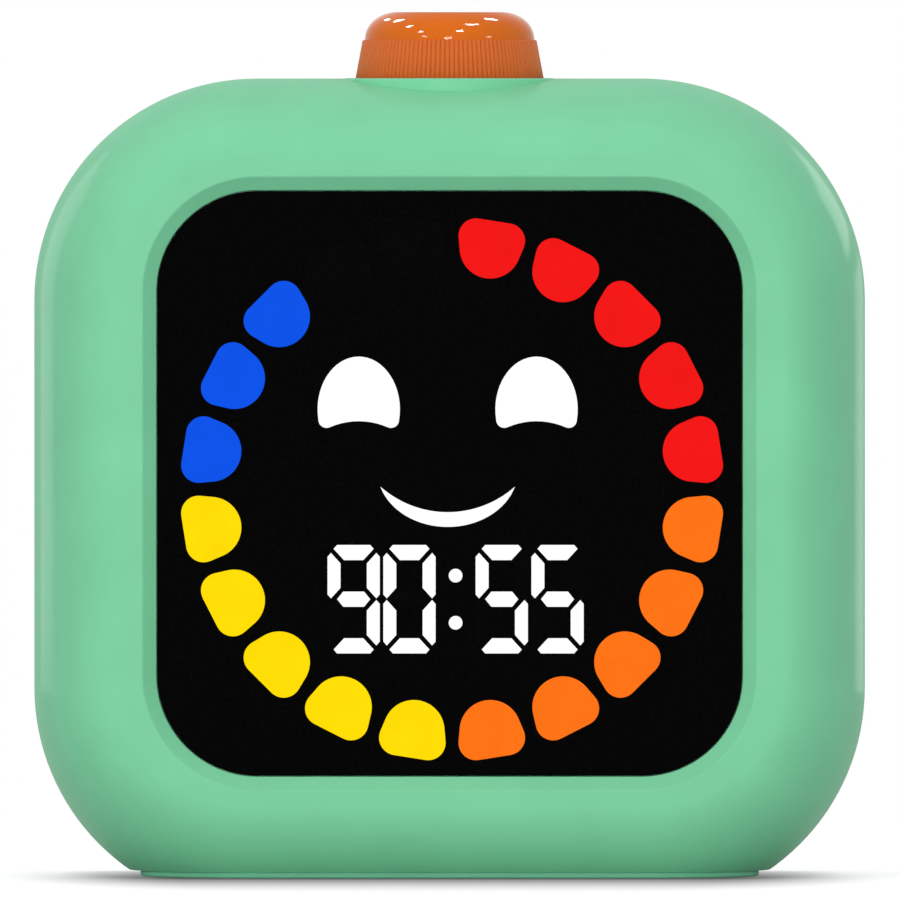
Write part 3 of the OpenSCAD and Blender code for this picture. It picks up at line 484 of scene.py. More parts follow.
class Mixer(Wiring):
    """Node tree of one material, with the few nodes that the finishes share."""

    MIDDLE = (0.3, 0.7)

    def __init__(self, name: str) -> None:
        """Starts a material that reads the piece's own coordinates.

        Args:
            name: Name of the material.
        """
        self.material = bpy.data.materials.new(name)
        self.material.use_nodes = True
        super().__init__(self.material.node_tree)
        self.shader = self.tree.nodes["Principled BSDF"]
        self.place = self.add("ShaderNodeTexCoord").outputs["Object"]

    def noise(self, scale: float, detail: float = 3.0, stretch: Place = (1, 1, 1)) -> Socket:
        """Adds a noise pattern.

        Args:
            scale: Cycles in a metre.
            detail: Octaves.
            stretch: Scale of the pattern along each axis.

        Returns:
            The pattern as a value near one half.
        """
        mapping = self.add("ShaderNodeMapping")
        mapping.inputs["Scale"].default_value = stretch
        self.join(self.place, mapping.inputs["Vector"])
        node = self.add("ShaderNodeTexNoise")
        node.inputs["Scale"].default_value = scale
        node.inputs["Detail"].default_value = detail
        self.join(mapping.outputs["Vector"], node.inputs["Vector"])
        return node.outputs["Fac"]

    def blend(self, pattern: Socket, low: Colour, high: Colour, ends: Pair = MIDDLE) -> Socket:
        """Maps a pattern to a run between two colours.

        Args:
            pattern: Value socket.
            low: Colour at the low end.
            high: Colour at the high end.
            ends: Pattern values of the two colours.

        Returns:
            The colour socket.
        """
        node = self.add("ShaderNodeValToRGB")
        for element, position, colour in zip(node.color_ramp.elements, ends, (low, high)):
            element.position = position
            element.color = colour
        self.join(pattern, node.inputs["Fac"])
        return node.outputs["Color"]

    def cloud(self, scale: float, base: Colour, swing: float) -> Socket:
        """Mottles a colour darker and lighter by a share, with so many cycles in a metre."""
        return self.blend(self.noise(scale), toned(base, 1 - swing), toned(base, 1 + swing))

    def mix(self, share: Socket, first: Socket, second: Socket) -> Socket:
        """Mixes two shaders.

        Args:
            share: Share of the second one.
            first: First shader.
            second: Second shader.

        Returns:
            The mixed shader.
        """
        node = self.add("ShaderNodeMixShader")
        for source, end in zip((share, first, second), node.inputs):
            self.join(source, end)
        return node.outputs["Shader"]

    def axis(self, name: str) -> Socket:
        """Gives one axis of the piece's own coordinates.

        Args:
            name: Letter of the axis.

        Returns:
            The place along it in metres.
        """
        node = self.add("ShaderNodeSeparateXYZ")
        self.join(self.place, node.inputs[0])
        return node.outputs[name]

    def relief(self, pattern: Socket, depth: float) -> None:
        """Raises the surface by a pattern.

        Args:
            pattern: Height pattern.
            depth: Height of the full pattern in millimetres.
        """
        node = self.add("ShaderNodeBump")
        node.inputs["Strength"].default_value = 1.0
        node.inputs["Distance"].default_value = depth * MM
        self.join(pattern, node.inputs["Height"])
        self.join(node.outputs["Normal"], self.shader.inputs["Normal"])

    def colour(self, source: Socket) -> None:
        """Feeds a colour to the surface."""
        self.join(source, self.shader.inputs["Base Color"])

    def rough(self, pattern: Socket, levels: Pair) -> None:
        """Lets the roughness vary between two levels with the middle of a pattern."""
        self.join(self.run(pattern, self.MIDDLE, levels, Slope.EVEN), self.shader.inputs["Roughness"])

    def put(self, **values: object) -> None:
        """Sets uniform shader values; an underscore in a name stands for a space."""
        for key, value in values.items():
            self.shader.inputs[key.replace("_", " ")].default_value = value


@dataclass(frozen=True)
class Moulded:
    """Moulded plastic, rubber or foam: soft colour mottle, uneven gloss and a fine eroded grain.

    A thin clear coat can lie over it. The mirroring of the plastic itself can die away between two
    heights in millimetres, as on a brushed flat top.
    """

    name: str
    code: str
    roughness: float = 0.42
    swing: float = 0.05
    mottle: float = 0.03
    mottle_scale: float = 120.0
    gloss_finer: float = 3.0
    grain_scale: float = 9000.0
    grain_detail: float = 2.0
    grain_depth: float = 0.006
    specular: float = 0.5
    coat: float = 0.0
    coat_roughness: float = 0.14
    brushed: Pair | None = None

    def material(self) -> Material:
        """Builds the material.

        Returns:
            The material with its nodes.
        """
        mixer = Mixer(self.name)
        mixer.colour(mixer.cloud(self.mottle_scale, paint(self.code), self.mottle))
        mixer.rough(mixer.noise(self.mottle_scale * self.gloss_finer),
                    (self.roughness - self.swing, self.roughness + self.swing))
        mixer.relief(mixer.noise(self.grain_scale, self.grain_detail), self.grain_depth)
        mixer.put(Specular_IOR_Level=self.specular, Coat_Weight=self.coat,
                  Coat_Roughness=self.coat_roughness)
        if self.brushed:
            start, stop = metres(self.brushed)
            gloss = mixer.run(mixer.axis("Z"), (stop, start))
            mixer.join(mixer.reckon(Sum.TIMES, gloss, self.specular),
                       mixer.shader.inputs["Specular IOR Level"])
        return mixer.material


@dataclass(frozen=True)
class Lit:
    """Milky window insert lit from behind, a little uneven like a diffuser sheet."""

    name: str
    code: str
    unevenness: float = 0.03
    glow: float = 1.0
    glow_scale: float = 260.0
    tint: Pair = (0.02, 0.04)
    tint_scale: float = 900.0
    roughness: Pair = (0.45, 0.6)
    gloss_scale: float = 1500.0
    grain_scale: float = 6000.0
    grain_depth: float = 0.003
    specular: float = 0.02

    def material(self) -> Material:
        """Builds the material.

        Returns:
            The material with its nodes.
        """
        mixer = Mixer(self.name)
        base = paint(self.code)
        light = mixer.cloud(self.glow_scale, base, self.unevenness)
        mixer.join(light, mixer.shader.inputs["Emission Color"])
        low, high = self.tint
        mixer.colour(mixer.blend(mixer.noise(self.tint_scale), toned(base, low), toned(base, high)))
        mixer.rough(mixer.noise(self.gloss_scale), self.roughness)
        mixer.relief(mixer.noise(self.grain_scale), self.grain_depth)
        mixer.put(Emission_Strength=self.glow, Specular_IOR_Level=self.specular)
        return mixer.material


@dataclass(frozen=True)
class Film:
    """Printed black film over clear sheet: near black, faint dust and hairline unevenness."""

    name: str
    code: str
    dust: str
    dust_scale: float = 2600.0
    dust_detail: float = 4.0
    dust_ends: Pair = (0.45, 0.95)
    roughness: Pair = (0.34, 0.46)
    gloss_scale: float = 180.0
    wave_scale: float = 700.0
    wave_depth: float = 0.002
    specular: float = 0.02

    def material(self) -> Material:
        """Builds the material.

        Returns:
            The material with its nodes.
        """
        mixer = Mixer(self.name)
        specks = mixer.noise(self.dust_scale, self.dust_detail)
        mixer.colour(mixer.blend(specks, paint(self.code), paint(self.dust), self.dust_ends))
        mixer.rough(mixer.noise(self.gloss_scale), self.roughness)
        mixer.relief(mixer.noise(self.wave_scale), self.wave_depth)
        mixer.put(Specular_IOR_Level=self.specular)
        return mixer.material


@dataclass(frozen=True)
class Metal:
    """Drawn or turned metal with fine draw lines and uneven polish."""

    name: str
    code: str
    roughness: Pair = (0.22, 0.4)
    lines: Place = (1, 1, 12)
    line_scale: float = 2500.0
    line_depth: float = 0.004
    shade: float = 0.88

    def material(self) -> Material:
        """Builds the material.

        Returns:
            The material with its nodes.
        """
        mixer = Mixer(self.name)
        base = paint(self.code)
        drawn = mixer.noise(self.line_scale, stretch=self.lines)
        mixer.colour(mixer.blend(drawn, toned(base, self.shade), base))
        mixer.rough(drawn, self.roughness)
        mixer.relief(drawn, self.line_depth)
        mixer.put(Metallic=1.0)
        return mixer.material


@dataclass(frozen=True)
class CircuitBoard:
    """Solder mask over copper tracks, seen as faint paler lines in a grid."""

    name: str
    code: str
    track: str
    track_scale: float = 330.0
    track_width: float = 0.03
    track_depth: float = 0.02
    shade: float = 0.85
    roughness: Pair = (0.3, 0.45)
    gloss_scale: float = 400.0

    def material(self) -> Material:
        """Builds the material.

        Returns:
            The material with its nodes.
        """
        mixer = Mixer(self.name)
        mask = paint(self.code)
        tracks = mixer.add("ShaderNodeTexBrick")
        values = {"Scale": self.track_scale, "Mortar Size": self.track_width, "Color1": mask,
                  "Color2": toned(mask, self.shade), "Mortar": paint(self.track)}
        for key, value in values.items():
            tracks.inputs[key].default_value = value
        mixer.join(mixer.place, tracks.inputs["Vector"])
        mixer.colour(tracks.outputs["Color"])
        mixer.rough(mixer.noise(self.gloss_scale), self.roughness)
        mixer.relief(tracks.outputs["Fac"], self.track_depth)
        return mixer.material


FINISHES = {
    "body_mint": Moulded("mint_shell", "#7bcea0", roughness=0.4, specular=0.0, coat=0.2),
    "pad_mint": Moulded("mint_rubber", "#6fbd97", roughness=0.7, swing=0.08, grain_scale=5000.0,
                        grain_depth=0.02, specular=0.3),
    "panel_black": Film("panel_film", "#010101", "#070708"),
    "tape_black": Moulded("adhesive_tape", "#141516", roughness=0.75, grain_scale=3000.0, grain_depth=0.03),
    "window_red": Lit("red_light", "#f01716"),
    "window_orange": Lit("orange_light", "#fc7215"),
    "window_yellow": Lit("yellow_light", "#fddb04"),
    "window_blue": Lit("blue_light", "#0c52e7"),
    "window_white": Lit("white_light", "#fdfdfd", unevenness=0.015),
    "window_dark": Film("dark_window", "#020202", "#080809"),
    "white_plastic": Moulded("white_moulding", "#f2f2ee", roughness=0.5),
    "led_white": Moulded("led_case", "#eeeadd", roughness=0.35, grain_depth=0.002),
    "board_green": CircuitBoard("solder_mask", "#1f5b3a", "#3d8a5c"),
    "chip_black": Moulded("chip_case", "#26282b", roughness=0.6, grain_scale=7000.0, grain_depth=0.01),
    "steel": Metal("bright_steel", "#b9bcc0"),
    "brass": Metal("drawn_brass", "#c9a24a"),
    "knob_orange": Moulded("ribbed_orange", "#d1672a", roughness=0.45, mottle=0.04, grain_depth=0.008,
                           specular=0.2),
    "cap_orange": Moulded("glossy_orange", "#d76710", roughness=0.06, swing=0.02, grain_scale=700.0,
                          grain_depth=0.0002, specular=0.12, brushed=(87.7, 88.28)),
    "cell_foil": Metal("cell_foil", "#c3c6ca", roughness=(0.3, 0.48), lines=(1, 1, 1)),
    "wire_red": Moulded("red_sleeve", "#b3201c", roughness=0.5),
    "wire_black": Moulded("black_sleeve", "#161718", roughness=0.55),
    "lever_black": Moulded("black_lever", "#111214", roughness=0.5, grain_depth=0.01),
}


class Paintbox:
    """Makes each finish once and hands it out by slot."""

    def __init__(self) -> None:
        """Starts with no material made."""
        self.made: dict[str, Material] = {}

    def get(self, slot: str) -> Material:
        """Gives the material of a slot, made at its first use.

        Args:
            slot: Slot name of the record.

        Returns:
            The material.
        """
        if slot not in self.made:
            self.made[slot] = FINISHES[slot].material()
        return self.made[slot]

    def dress(self, piece: Piece, slot: str, body: str, *nodes: str) -> None:
        """Gives a modelled piece its finish, its body and the nodes that it stands for.

        Args:
            piece: Finished piece.
            slot: Slot name of the record.
            body: Body that it moves with.
            nodes: Frame nodes that it replaces.
        """
        piece.data.materials.clear()
        piece.data.materials.append(self.get(slot))
        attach(piece, body)
        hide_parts(*nodes)
        log.info("%s: %d faces on %s", piece.name, len(piece.data.polygons), body)


@dataclass
class Part:
    """Sub-assembly that dresses its pieces from the paintbox."""

    paints: Paintbox


@dataclass
class Shells:
    """Front and rear shells of the body, in millimetres."""

    half: float = 42.5
    corner: float = 22.7
    middle: float = BODY_MIDDLE
    run: float = HALF_DEPTH
    front_round: float = 8.7
    base_fall: float = 2.1
    rear_round: float = 7.0
    wall: float = WALL
    base: float = 0.6
    parting: float = 13.2
    gap: float = 0.25
    lip: float = 1.8
    fit: float = 0.1
    cavity_front: float = 16.3
    edge: float = 0.2
    segments: int = 32
    steps: int = 24
    near: float = 0.01
    over: float = 1.0

    def block(self, name: str, inset: float, start: float, facing: Facing) -> Piece:
        """Starts a block at a depth on the body outline, or inside it, as a plate open in edit mode."""
        side = 2 * (self.half - inset)
        return Bench.plate(name, (side, side), self.corner - inset, (0, start, self.middle), facing,
                           self.segments)

    def front_block(self, name: str, inset: float, start: float, deep: float, steps: int) -> Piece:
        """Starts a block that ends in a long rounded front edge.

        Args:
            name: Name of the new object.
            inset: How far it stays inside the body outline.
            start: Depth of its flat start.
            deep: Length of the rounding.
            steps: Steps of the rounding.

        Returns:
            The block, open in edit mode.
        """
        piece = self.block(name, inset, start, Facing.FRONT)
        Bench.push((0, -start, 0))
        Bench.quarter(self.front_round - inset, deep, steps)
        return piece

    def rear_block(self, name: str, inset: float, start: float) -> Piece:
        """Starts a block that ends in a rounded rear edge.

        Args:
            name: Name of the new object.
            inset: How far it stays inside the body outline.
            start: Depth of its flat start.

        Returns:
            The block, open in edit mode.
        """
        piece = self.block(name, inset, start, Facing.BACK)
        Bench.push((0, self.run - self.rear_round - start, 0))
        Bench.quarter(self.rear_round - inset, self.rear_round - inset, self.steps // 2)
        return piece

    def close(self, piece: Piece, inset: float) -> Piece:
        """Cuts a block, open in edit mode, flat at the base or an inset above it, and closes it."""
        Bench.trim(self.base + inset)
        return Bench.seal(piece)

    def front_solid(self) -> Piece:
        """Builds the front body as a solid with its long rounded front edge.

        Returns:
            The closed solid.
        """
        piece = self.front_block("front_shell", 0, self.parting, self.run, self.steps)
        self.deepen_fall(piece)
        Bench.soften(piece, lambda place: place.y > (self.parting - self.edge) * MM, self.edge)
        return self.close(piece, 0)

    def deepen_fall(self, piece: Piece) -> None:
        """Draws the lower half of each ring of the front edge up, so that it falls deeper at the base.

        Args:
            piece: Front solid that is open in edit mode.
        """
        turn = math.pi / 2 / self.steps
        bend = self.middle - self.half + self.corner
        near = self.near * MM
        for k in range(1, self.steps + 1):
            inset = self.front_round * (1 - math.cos(k * turn))
            depth = -self.run * math.sin(k * turn) * MM
            Bench.pick_points(piece, lambda place: abs(place.y - depth) < near and place.z < bend * MM)
            scale = 1 - self.base_fall * inset / self.front_round / (self.corner - inset)
            bpy.ops.transform.resize(value=(1, 1, scale), center_override=(0, 0, bend * MM))

    def front_cavity(self) -> Piece:
        """Builds the space inside the front shell, as a closed cutter."""
        piece = self.front_block("front_cavity", self.wall, self.parting + self.over, self.cavity_front,
                                 self.steps // 2)
        return self.close(piece, self.wall)

    def rear_solid(self) -> Piece:
        """Builds the rear body as a solid with its rounded edge.

        Returns:
            The closed solid.
        """
        start = self.parting + self.gap
        piece = self.rear_block("rear_shell", 0, start)
        Bench.soften(piece, lambda place: place.y < (start + self.edge) * MM, self.edge)
        return self.close(piece, 0)

    def rear_cavity(self) -> Piece:
        """Builds the space inside the rear shell, as a closed cutter."""
        piece = self.rear_block("rear_cavity", self.wall, self.parting - self.lip - self.over)
        return self.close(piece, self.wall)

    def ring_block(self, inset: float, start: float, end: float) -> Piece:
        """Builds a straight block on the outline between two depths.

        Args:
            inset: How far it stays inside the body outline.
            start: Front depth.
            end: Back depth.

        Returns:
            The closed block.
        """
        piece = self.block("ring_block", inset, start, Facing.BACK)
        Bench.push((0, end - start, 0))
        return self.close(piece, inset)


@dataclass
class DisplayOpening:
    """Stepped opening for the panel with its softly rounded sloped band, in millimetres."""

    half: float = 29.75
    radius: float = 10.2
    middle: float = 40.3
    fit: float = 0.1
    band: float = 1.4
    soft: float = 0.35
    inner_soft: float = 0.3
    panel_front: float = 19.6
    ledge_front: float = 18.2
    ledge: float = 1.0
    back: float = 14.0
    run: float = HALF_DEPTH
    lead: float = 1.0
    skim_out: float = 0.035
    skim_up: float = 0.008
    segments: int = 24
    turns: int = 5

    def path(self) -> list[Pair]:
        """Lists the band's profile from the front, as distance outside the pocket and depth.

        Returns:
            Outward distance and forward depth of each step.
        """
        # Turns of the flat front, of the sloped band and of the upright wall behind it
        level, lean, steep = math.pi / 2, math.pi * 3 / 4, math.pi
        reach = math.tan((lean - level) / 2)
        outer = self.band + self.soft * reach
        points = [(outer + self.lead, self.run + self.lead),
                  (outer + self.skim_out, self.run + self.skim_up)]
        points += arc((outer, self.run - self.soft), (self.soft, self.soft), (level, lean), self.turns)[1:]
        points += arc((self.inner_soft, self.panel_front - self.inner_soft * reach),
                      (self.inner_soft, self.inner_soft), (lean, steep), self.turns)
        return points

    def cutter(self) -> Piece:
        """Builds the opening as a closed shape.

        Returns:
            The closed cutter.
        """
        points = self.path()
        out, depth = points[0]
        side = 2 * (self.half + self.fit + out)
        piece = Bench.plate("display_opening", (side, side), self.radius + self.fit + out,
                            (0, -depth - self.lead, self.middle), Facing.BACK, self.segments)
        Bench.push((0, self.lead, 0))
        for next_out, next_depth in points[1:]:
            Bench.step(out - next_out, depth - next_depth)
            out, depth = next_out, next_depth
        Bench.push((0, depth - self.ledge_front, 0))
        Bench.step(self.ledge, 0)
        Bench.push((0, self.ledge_front - self.back, 0))
        return Bench.seal(piece)


@dataclass
class KnobSeat:
    """Collar and well on top of the body, in millimetres."""

    radius: float = 10.84
    top: float = 81.55
    foot: float = 78.3
    soft: float = 0.3
    well_radius: float = 9.99
    well_floor: float = 80.3
    bore: float = 3.6
    chamfer: float = 0.12
    proud: float = 0.02
    over: float = 4.0
    steps: int = 4

    def collar(self) -> Piece:
        """Builds the raised collar with a soft upper edge.

        Returns:
            The closed collar.
        """
        centre = (self.radius - self.soft, self.top - self.soft)
        edge = arc(centre, (self.soft, self.soft), QUARTER, self.steps)
        return Bench.turned("collar", [(self.radius, self.foot)] + edge)

    def well(self) -> Piece:
        """Builds the well with a small chamfer at its mouth, as a closed cutter."""
        mouth = self.well_radius + self.chamfer + self.proud
        return Bench.turned("well", [(self.well_radius, self.well_floor),
                                     (self.well_radius, self.top - self.chamfer),
                                     (mouth, self.top + self.proud), (mouth, self.top + self.over)])

    def shaft_bore(self) -> Piece:
        """Builds the bore for the encoder bush."""
        return Bench.turned("shaft_bore", [(self.bore, self.foot - self.over),
                                           (self.bore, self.well_floor + self.over)])


@dataclass
class BasePad(Part):
    """Rubber pad under the base and its pocket, in millimetres."""

    width: float = 63.2
    depth: float = 32.4
    radius: float = 12.0
    height: float = 1.2
    fit: float = 0.1
    soft: float = 0.25
    soft_steps: int = 4
    border: float = 3.0
    slope: float = 0.3
    hollow: float = 0.2
    over: float = 1.0
    segments: int = 24
    pocket_segments: int = 16
    crease: float = 40.0

    def pocket(self) -> Piece:
        """Builds the pocket in the base.

        Returns:
            The closed cutter.
        """
        grow = 2 * self.fit
        piece = Bench.plate("pad_pocket", (self.width + grow, self.depth + grow), self.radius + self.fit,
                            (0, 0, -self.over), Facing.UP, self.pocket_segments)
        Bench.push((0, 0, self.over + self.height))
        return Bench.seal(piece)

    def build(self) -> None:
        """Builds the pad with a soft lower edge and dresses it."""
        piece = Bench.plate("rubber_pad", (self.width, self.depth), self.radius, (0, 0, self.height),
                            Facing.DOWN, self.segments)
        Bench.push((0, 0, self.soft - self.height))
        Bench.quarter(self.soft, self.soft, self.soft_steps)
        Bench.step(self.border, 0)
        Bench.step(self.slope, -self.hollow)
        Bench.seal(piece)
        Bench.smooth(piece, self.crease)
        self.paints.dress(piece, "pad_mint", "housing", "base_pad")


@dataclass
class RearOpenings:
    """Holes through the back of the body, in millimetres."""

    back: float = HALF_DEPTH
    screw_place: float = 29.7
    middle: float = BODY_MIDDLE
    boss: float = 3.2
    boss_front: float = 9.1
    head: float = 2.5
    seat: float = 11.2
    shank: float = 1.4
    chamfer: float = 0.2
    proud: float = 0.02
    sound_z: float = 54.0
    sound_hole: float = 0.8
    sound_pitch: float = 3.0
    sound_rings: int = 2
    sound_sides: int = 6
    port: Place = (9.44, 3.7, 1.65)
    port_place: Pair = (9.0, 20.0)
    slot: Place = (7.1, 2.5, 0.25)
    slot_place: Pair = (-9.0, 20.0)
    scoop: Place = (13.0, 6.4, 2.6)
    scoop_depth: float = 0.8
    wall: float = WALL
    over: float = 1.0
    boss_segments: int = 48
    hole_segments: int = 32
    slot_segments: int = 8

    def screw_places(self) -> list[Pair]:
        """Lists the sideways and upward places of the cover screws."""
        return [(x * self.screw_place, self.middle + z * self.screw_place) for x in (-1, 1) for z in (-1, 1)]

    def sound_places(self) -> list[Pair]:
        """Lists the sideways and upward places of the sound holes, from the middle outwards.

        Returns:
            One place in the middle, then those of each ring.
        """
        places = [(0.0, self.sound_z)]
        for ring in range(1, self.sound_rings + 1):
            count = self.sound_sides * ring
            for i in range(count):
                turn = 2 * math.pi * i / count
                places.append((ring * self.sound_pitch * math.cos(turn),
                               self.sound_z + ring * self.sound_pitch * math.sin(turn)))
        return places

    def hole(self, radius: float, start: float, place: Pair) -> Piece:
        """Builds a round hole with a chamfered mouth at the back.

        Args:
            radius: Radius of the hole.
            start: Depth where it starts.
            place: Sideways and upward place of its axis.

        Returns:
            The closed cutter.
        """
        length = self.back - start
        mouth = radius + self.chamfer + self.proud
        piece = Bench.turned("hole", [(radius, 0), (radius, length - self.chamfer),
                                      (mouth, length + self.proud), (mouth, length + self.over)],
                             segments=self.hole_segments)
        return Bench.along_depth(piece, (place[0], start, place[1]))

    def slot_hole(self, size: Place, place: Pair, depth: float) -> Piece:
        """Builds a rounded slot with a chamfered mouth at the back.

        Args:
            size: Width, height and corner radius.
            place: Sideways and upward place of its middle.
            depth: Depth below the back face.

        Returns:
            The closed cutter.
        """
        grow = 2 * (self.chamfer + self.over)
        piece = Bench.plate("slot", (size[0] + grow, size[1] + grow), size[2] + grow / 2,
                            (place[0], self.back + 2 * self.over, place[1]), Facing.FRONT,
                            self.slot_segments)
        Bench.push((0, -self.over, 0))
        Bench.step(self.over, self.over)
        Bench.step(self.chamfer, self.chamfer)
        Bench.push((0, self.chamfer - depth, 0))
        return Bench.seal(piece)

    def cut(self, piece: Piece) -> None:
        """Adds the screw bosses to the rear shell and cuts every opening.

        Args:
            piece: Rear shell.
        """
        through = self.wall + self.over
        length = self.back - self.over - self.boss_front
        for place in self.screw_places():
            boss = Bench.turned("boss", [(self.boss, 0), (self.boss, length)], segments=self.boss_segments)
            Bench.combine(piece, Joining.ADD, Bench.along_depth(boss, (place[0], self.boss_front, place[1])))
        for place in self.screw_places():
            Bench.combine(piece, Joining.CUT, self.hole(self.shank, self.boss_front - self.over, place),
                          self.hole(self.head, self.seat, place))
        for place in self.sound_places():
            Bench.combine(piece, Joining.CUT, self.hole(self.sound_hole, self.back - through, place))
        Bench.combine(piece, Joining.CUT, self.slot_hole(self.port, self.port_place, through),
                      self.slot_hole(self.scoop, self.slot_place, self.scoop_depth),
                      self.slot_hole(self.slot, self.slot_place, through))


@dataclass
class Body(Part):
    """Both shells with their openings, and the pad."""

    shells: Shells
    opening: DisplayOpening
    seat: KnobSeat
    pad: BasePad
    back: RearOpenings

    def build_front(self) -> Piece:
        """Builds and dresses the front shell.

        Returns:
            The front shell.
        """
        shells = self.shells
        piece = shells.front_solid()
        rebate = shells.ring_block(shells.wall / 2, shells.parting - shells.lip,
                                   shells.parting + shells.over)
        Bench.combine(piece, Joining.ADD, self.seat.collar())
        Bench.combine(piece, Joining.CUT, shells.front_cavity(), self.seat.well(), self.seat.shaft_bore(),
                      self.opening.cutter(), rebate, self.pad.pocket())
        Bench.smooth(piece)
        self.paints.dress(piece, "body_mint", "housing", "front_housing")
        return piece

    def build_rear(self) -> None:
        """Builds and dresses the rear shell."""
        shells = self.shells
        piece = shells.rear_solid()
        lip = shells.ring_block(shells.wall / 2 + shells.fit, shells.parting - shells.lip + shells.fit,
                                shells.parting + shells.gap + shells.over / 2)
        Bench.combine(piece, Joining.ADD, lip)
        Bench.combine(piece, Joining.CUT, shells.rear_cavity())
        self.back.cut(piece)
        Bench.combine(piece, Joining.CUT, self.pad.pocket())
        Bench.smooth(piece)
        self.paints.dress(piece, "body_mint", "housing", "rear_cover")

    def build(self) -> Piece:
        """Builds the body.

        Returns:
            Its front shell.
        """
        shell = self.build_front()
        self.build_rear()
        self.pad.build()
        return shell


@dataclass
class Knob(Part):
    """Ribbed skirt and domed cap, in millimetres."""

    foot_z: float = 81.2
    top_z: float = 85.47
    foot_radius: float = 9.69
    top_radius: float = 8.9
    wall: float = 1.8
    hub_z: float = 84.05
    core_radius: float = 6.9
    core_top: float = 87.14
    bore: float = 3.02
    bore_top: float = 86.36
    ribs: int = 120
    rib_points: int = 8
    groove: float = 0.15
    flank: float = 0.5
    rib_crease: float = 50.0
    soft: float = 0.12
    cap_radius: float = 8.7
    cap_height: float = 2.82
    cap_round: float = 3.2
    cap_fit: float = 0.05
    cap_steps: int = 20
    segments: int = 128

    def build_skirt(self) -> None:
        """Builds the skirt, presses the grooves in and dresses it."""
        slope = (self.foot_radius - self.top_radius) / (self.top_z - self.foot_z)
        rings = [(self.bore, self.bore_top), (self.bore, self.hub_z),
                 (self.foot_radius - self.wall, self.hub_z), (self.foot_radius - self.wall, self.foot_z),
                 (self.foot_radius - self.soft, self.foot_z)]
        for height in (self.foot_z + self.soft, self.top_z - self.soft):
            rings.append((self.foot_radius - slope * (height - self.foot_z), height))
        rings += [(self.top_radius - self.soft, self.top_z), (self.core_radius, self.top_z),
                  (self.core_radius, self.core_top)]
        piece = Bench.turned("knob_ribs", rings, segments=self.ribs * self.rib_points)
        Bench.edit(piece)
        least = (self.top_radius - self.groove) * MM
        for offset, share in ((0, 1.0), (1, self.flank), (self.rib_points - 1, self.flank)):
            Bench.pick_points(piece, self.groove_test(offset, least))
            scale = 1 - share * self.groove / self.foot_radius
            bpy.ops.transform.resize(value=(scale, scale, 1), center_override=(0, 0, self.foot_z * MM))
        Bench.seal(piece)
        Bench.smooth(piece, self.rib_crease)
        self.paints.dress(piece, "knob_orange", "knob", "knob_skirt")

    def groove_test(self, offset: int, least: float) -> Callable[[Vector], bool]:
        """Makes the test for one line of points in every rib.

        Args:
            offset: Number of the line within a rib.
            least: Least radius in metres.

        Returns:
            The test of a place.
        """
        pitch = 2 * math.pi / (self.ribs * self.rib_points)

        def chosen(place: Vector) -> bool:
            """Says whether a place is on the line."""
            number = round(math.atan2(place.y, place.x) / pitch) % self.rib_points
            return number == offset and math.hypot(place.x, place.y) > least

        return chosen

    def build_cap(self) -> Piece:
        """Builds the domed cap and dresses it.

        Returns:
            The cap.
        """
        inside = self.core_radius + self.cap_fit
        rings = [(inside, self.core_top + self.cap_fit), (inside, self.top_z)]
        rings += arc((self.cap_radius - self.cap_round, self.top_z), (self.cap_round, self.cap_height),
                     QUARTER, self.cap_steps)
        piece = Bench.turned("knob_dome", rings, segments=self.segments)
        Bench.smooth(piece)
        self.paints.dress(piece, "cap_orange", "knob", "knob_cap")
        return piece

    def build(self) -> Piece:
        """Builds the knob in its finishes and gives its cap."""
        self.build_skirt()
        return self.build_cap()


@dataclass
class CellFoam(Part):
    """Foam between the cell and the main board, flat on both and bulging at its sides, in millimetres."""

    node: str = "foam_pad"
    corner: float = 1.5
    corner_segments: int = 6
    bulge: float = 0.35
    layers: int = 6
    crease: float = 40.0
    fill: float = 0.9

    def build(self) -> None:
        """Builds the foam in the space of its frame node and dresses it."""
        low, high = (Vector(corner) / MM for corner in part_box(self.node))
        middle = (low + high) / 2
        size = high - low
        piece = Bench.plate("cell_foam", (size.x - 2 * self.bulge, size.z - 2 * self.bulge), self.corner,
                            (middle.x, high.y, middle.z), Facing.FRONT, self.corner_segments)
        layer = size.y / self.layers
        for _ in range(self.layers):
            Bench.push((0, -layer, 0))
        for k in range(1, self.layers):
            depth = (high.y - layer * k) * MM
            Bench.pick_points(piece, lambda place: abs(place.y - depth) < layer / 2 * MM)
            swell = math.sin(math.pi * k / self.layers) * self.bulge * 2
            bpy.ops.transform.resize(value=(1 + swell / size.x, 1, 1 + swell / size.z),
                                     center_override=metres(middle))
        Bench.seal(piece)
        Bench.smooth(piece, self.crease)
        self.paints.dress(piece, "tape_black", "housing", self.node)


@dataclass
class SwitchDome(Part):
    """Springy dome of the push switch, which lies flat when the knob is pressed, in millimetres."""

    node: str = "switch_dome"
    joint: str = "knob_press"
    wall: float = 0.15
    pole: float = 0.05
    clearance: float = 0.01
    steps: int = 10
    segments: int = 48

    def side(self, ball: float, rim: float, middle: float) -> list[Pair]:
        """Draws one side of the dome, on a ball about a middle height, from its rim to its crown."""
        ends = (math.acos(rim / ball), math.acos(self.pole / ball))
        return arc((0.0, middle), (ball, ball), ends, self.steps)

    def build(self) -> None:
        """Builds the dome in the space of its frame node, dresses it and gives it a mesh of its own."""
        low, high = (Vector(corner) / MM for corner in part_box(self.node))
        foot = Vector(((low.x + high.x) / 2, (low.y + high.y) / 2, low.z))
        rim = (high.x - low.x) / 2
        height = high.z - low.z
        outer = (rim ** 2 + height ** 2) / (2 * height)
        inner = outer - self.wall
        middle = height - outer
        inner_rim = math.sqrt(inner ** 2 - middle ** 2)
        rings = self.side(inner, inner_rim, middle)[::-1] + self.side(outer, rim, middle)
        piece = Bench.turned("press_dome", rings, tuple(foot), self.segments)
        Bench.smooth(piece)
        self.paints.dress(piece, "steel", "housing", self.node)
        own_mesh(piece)


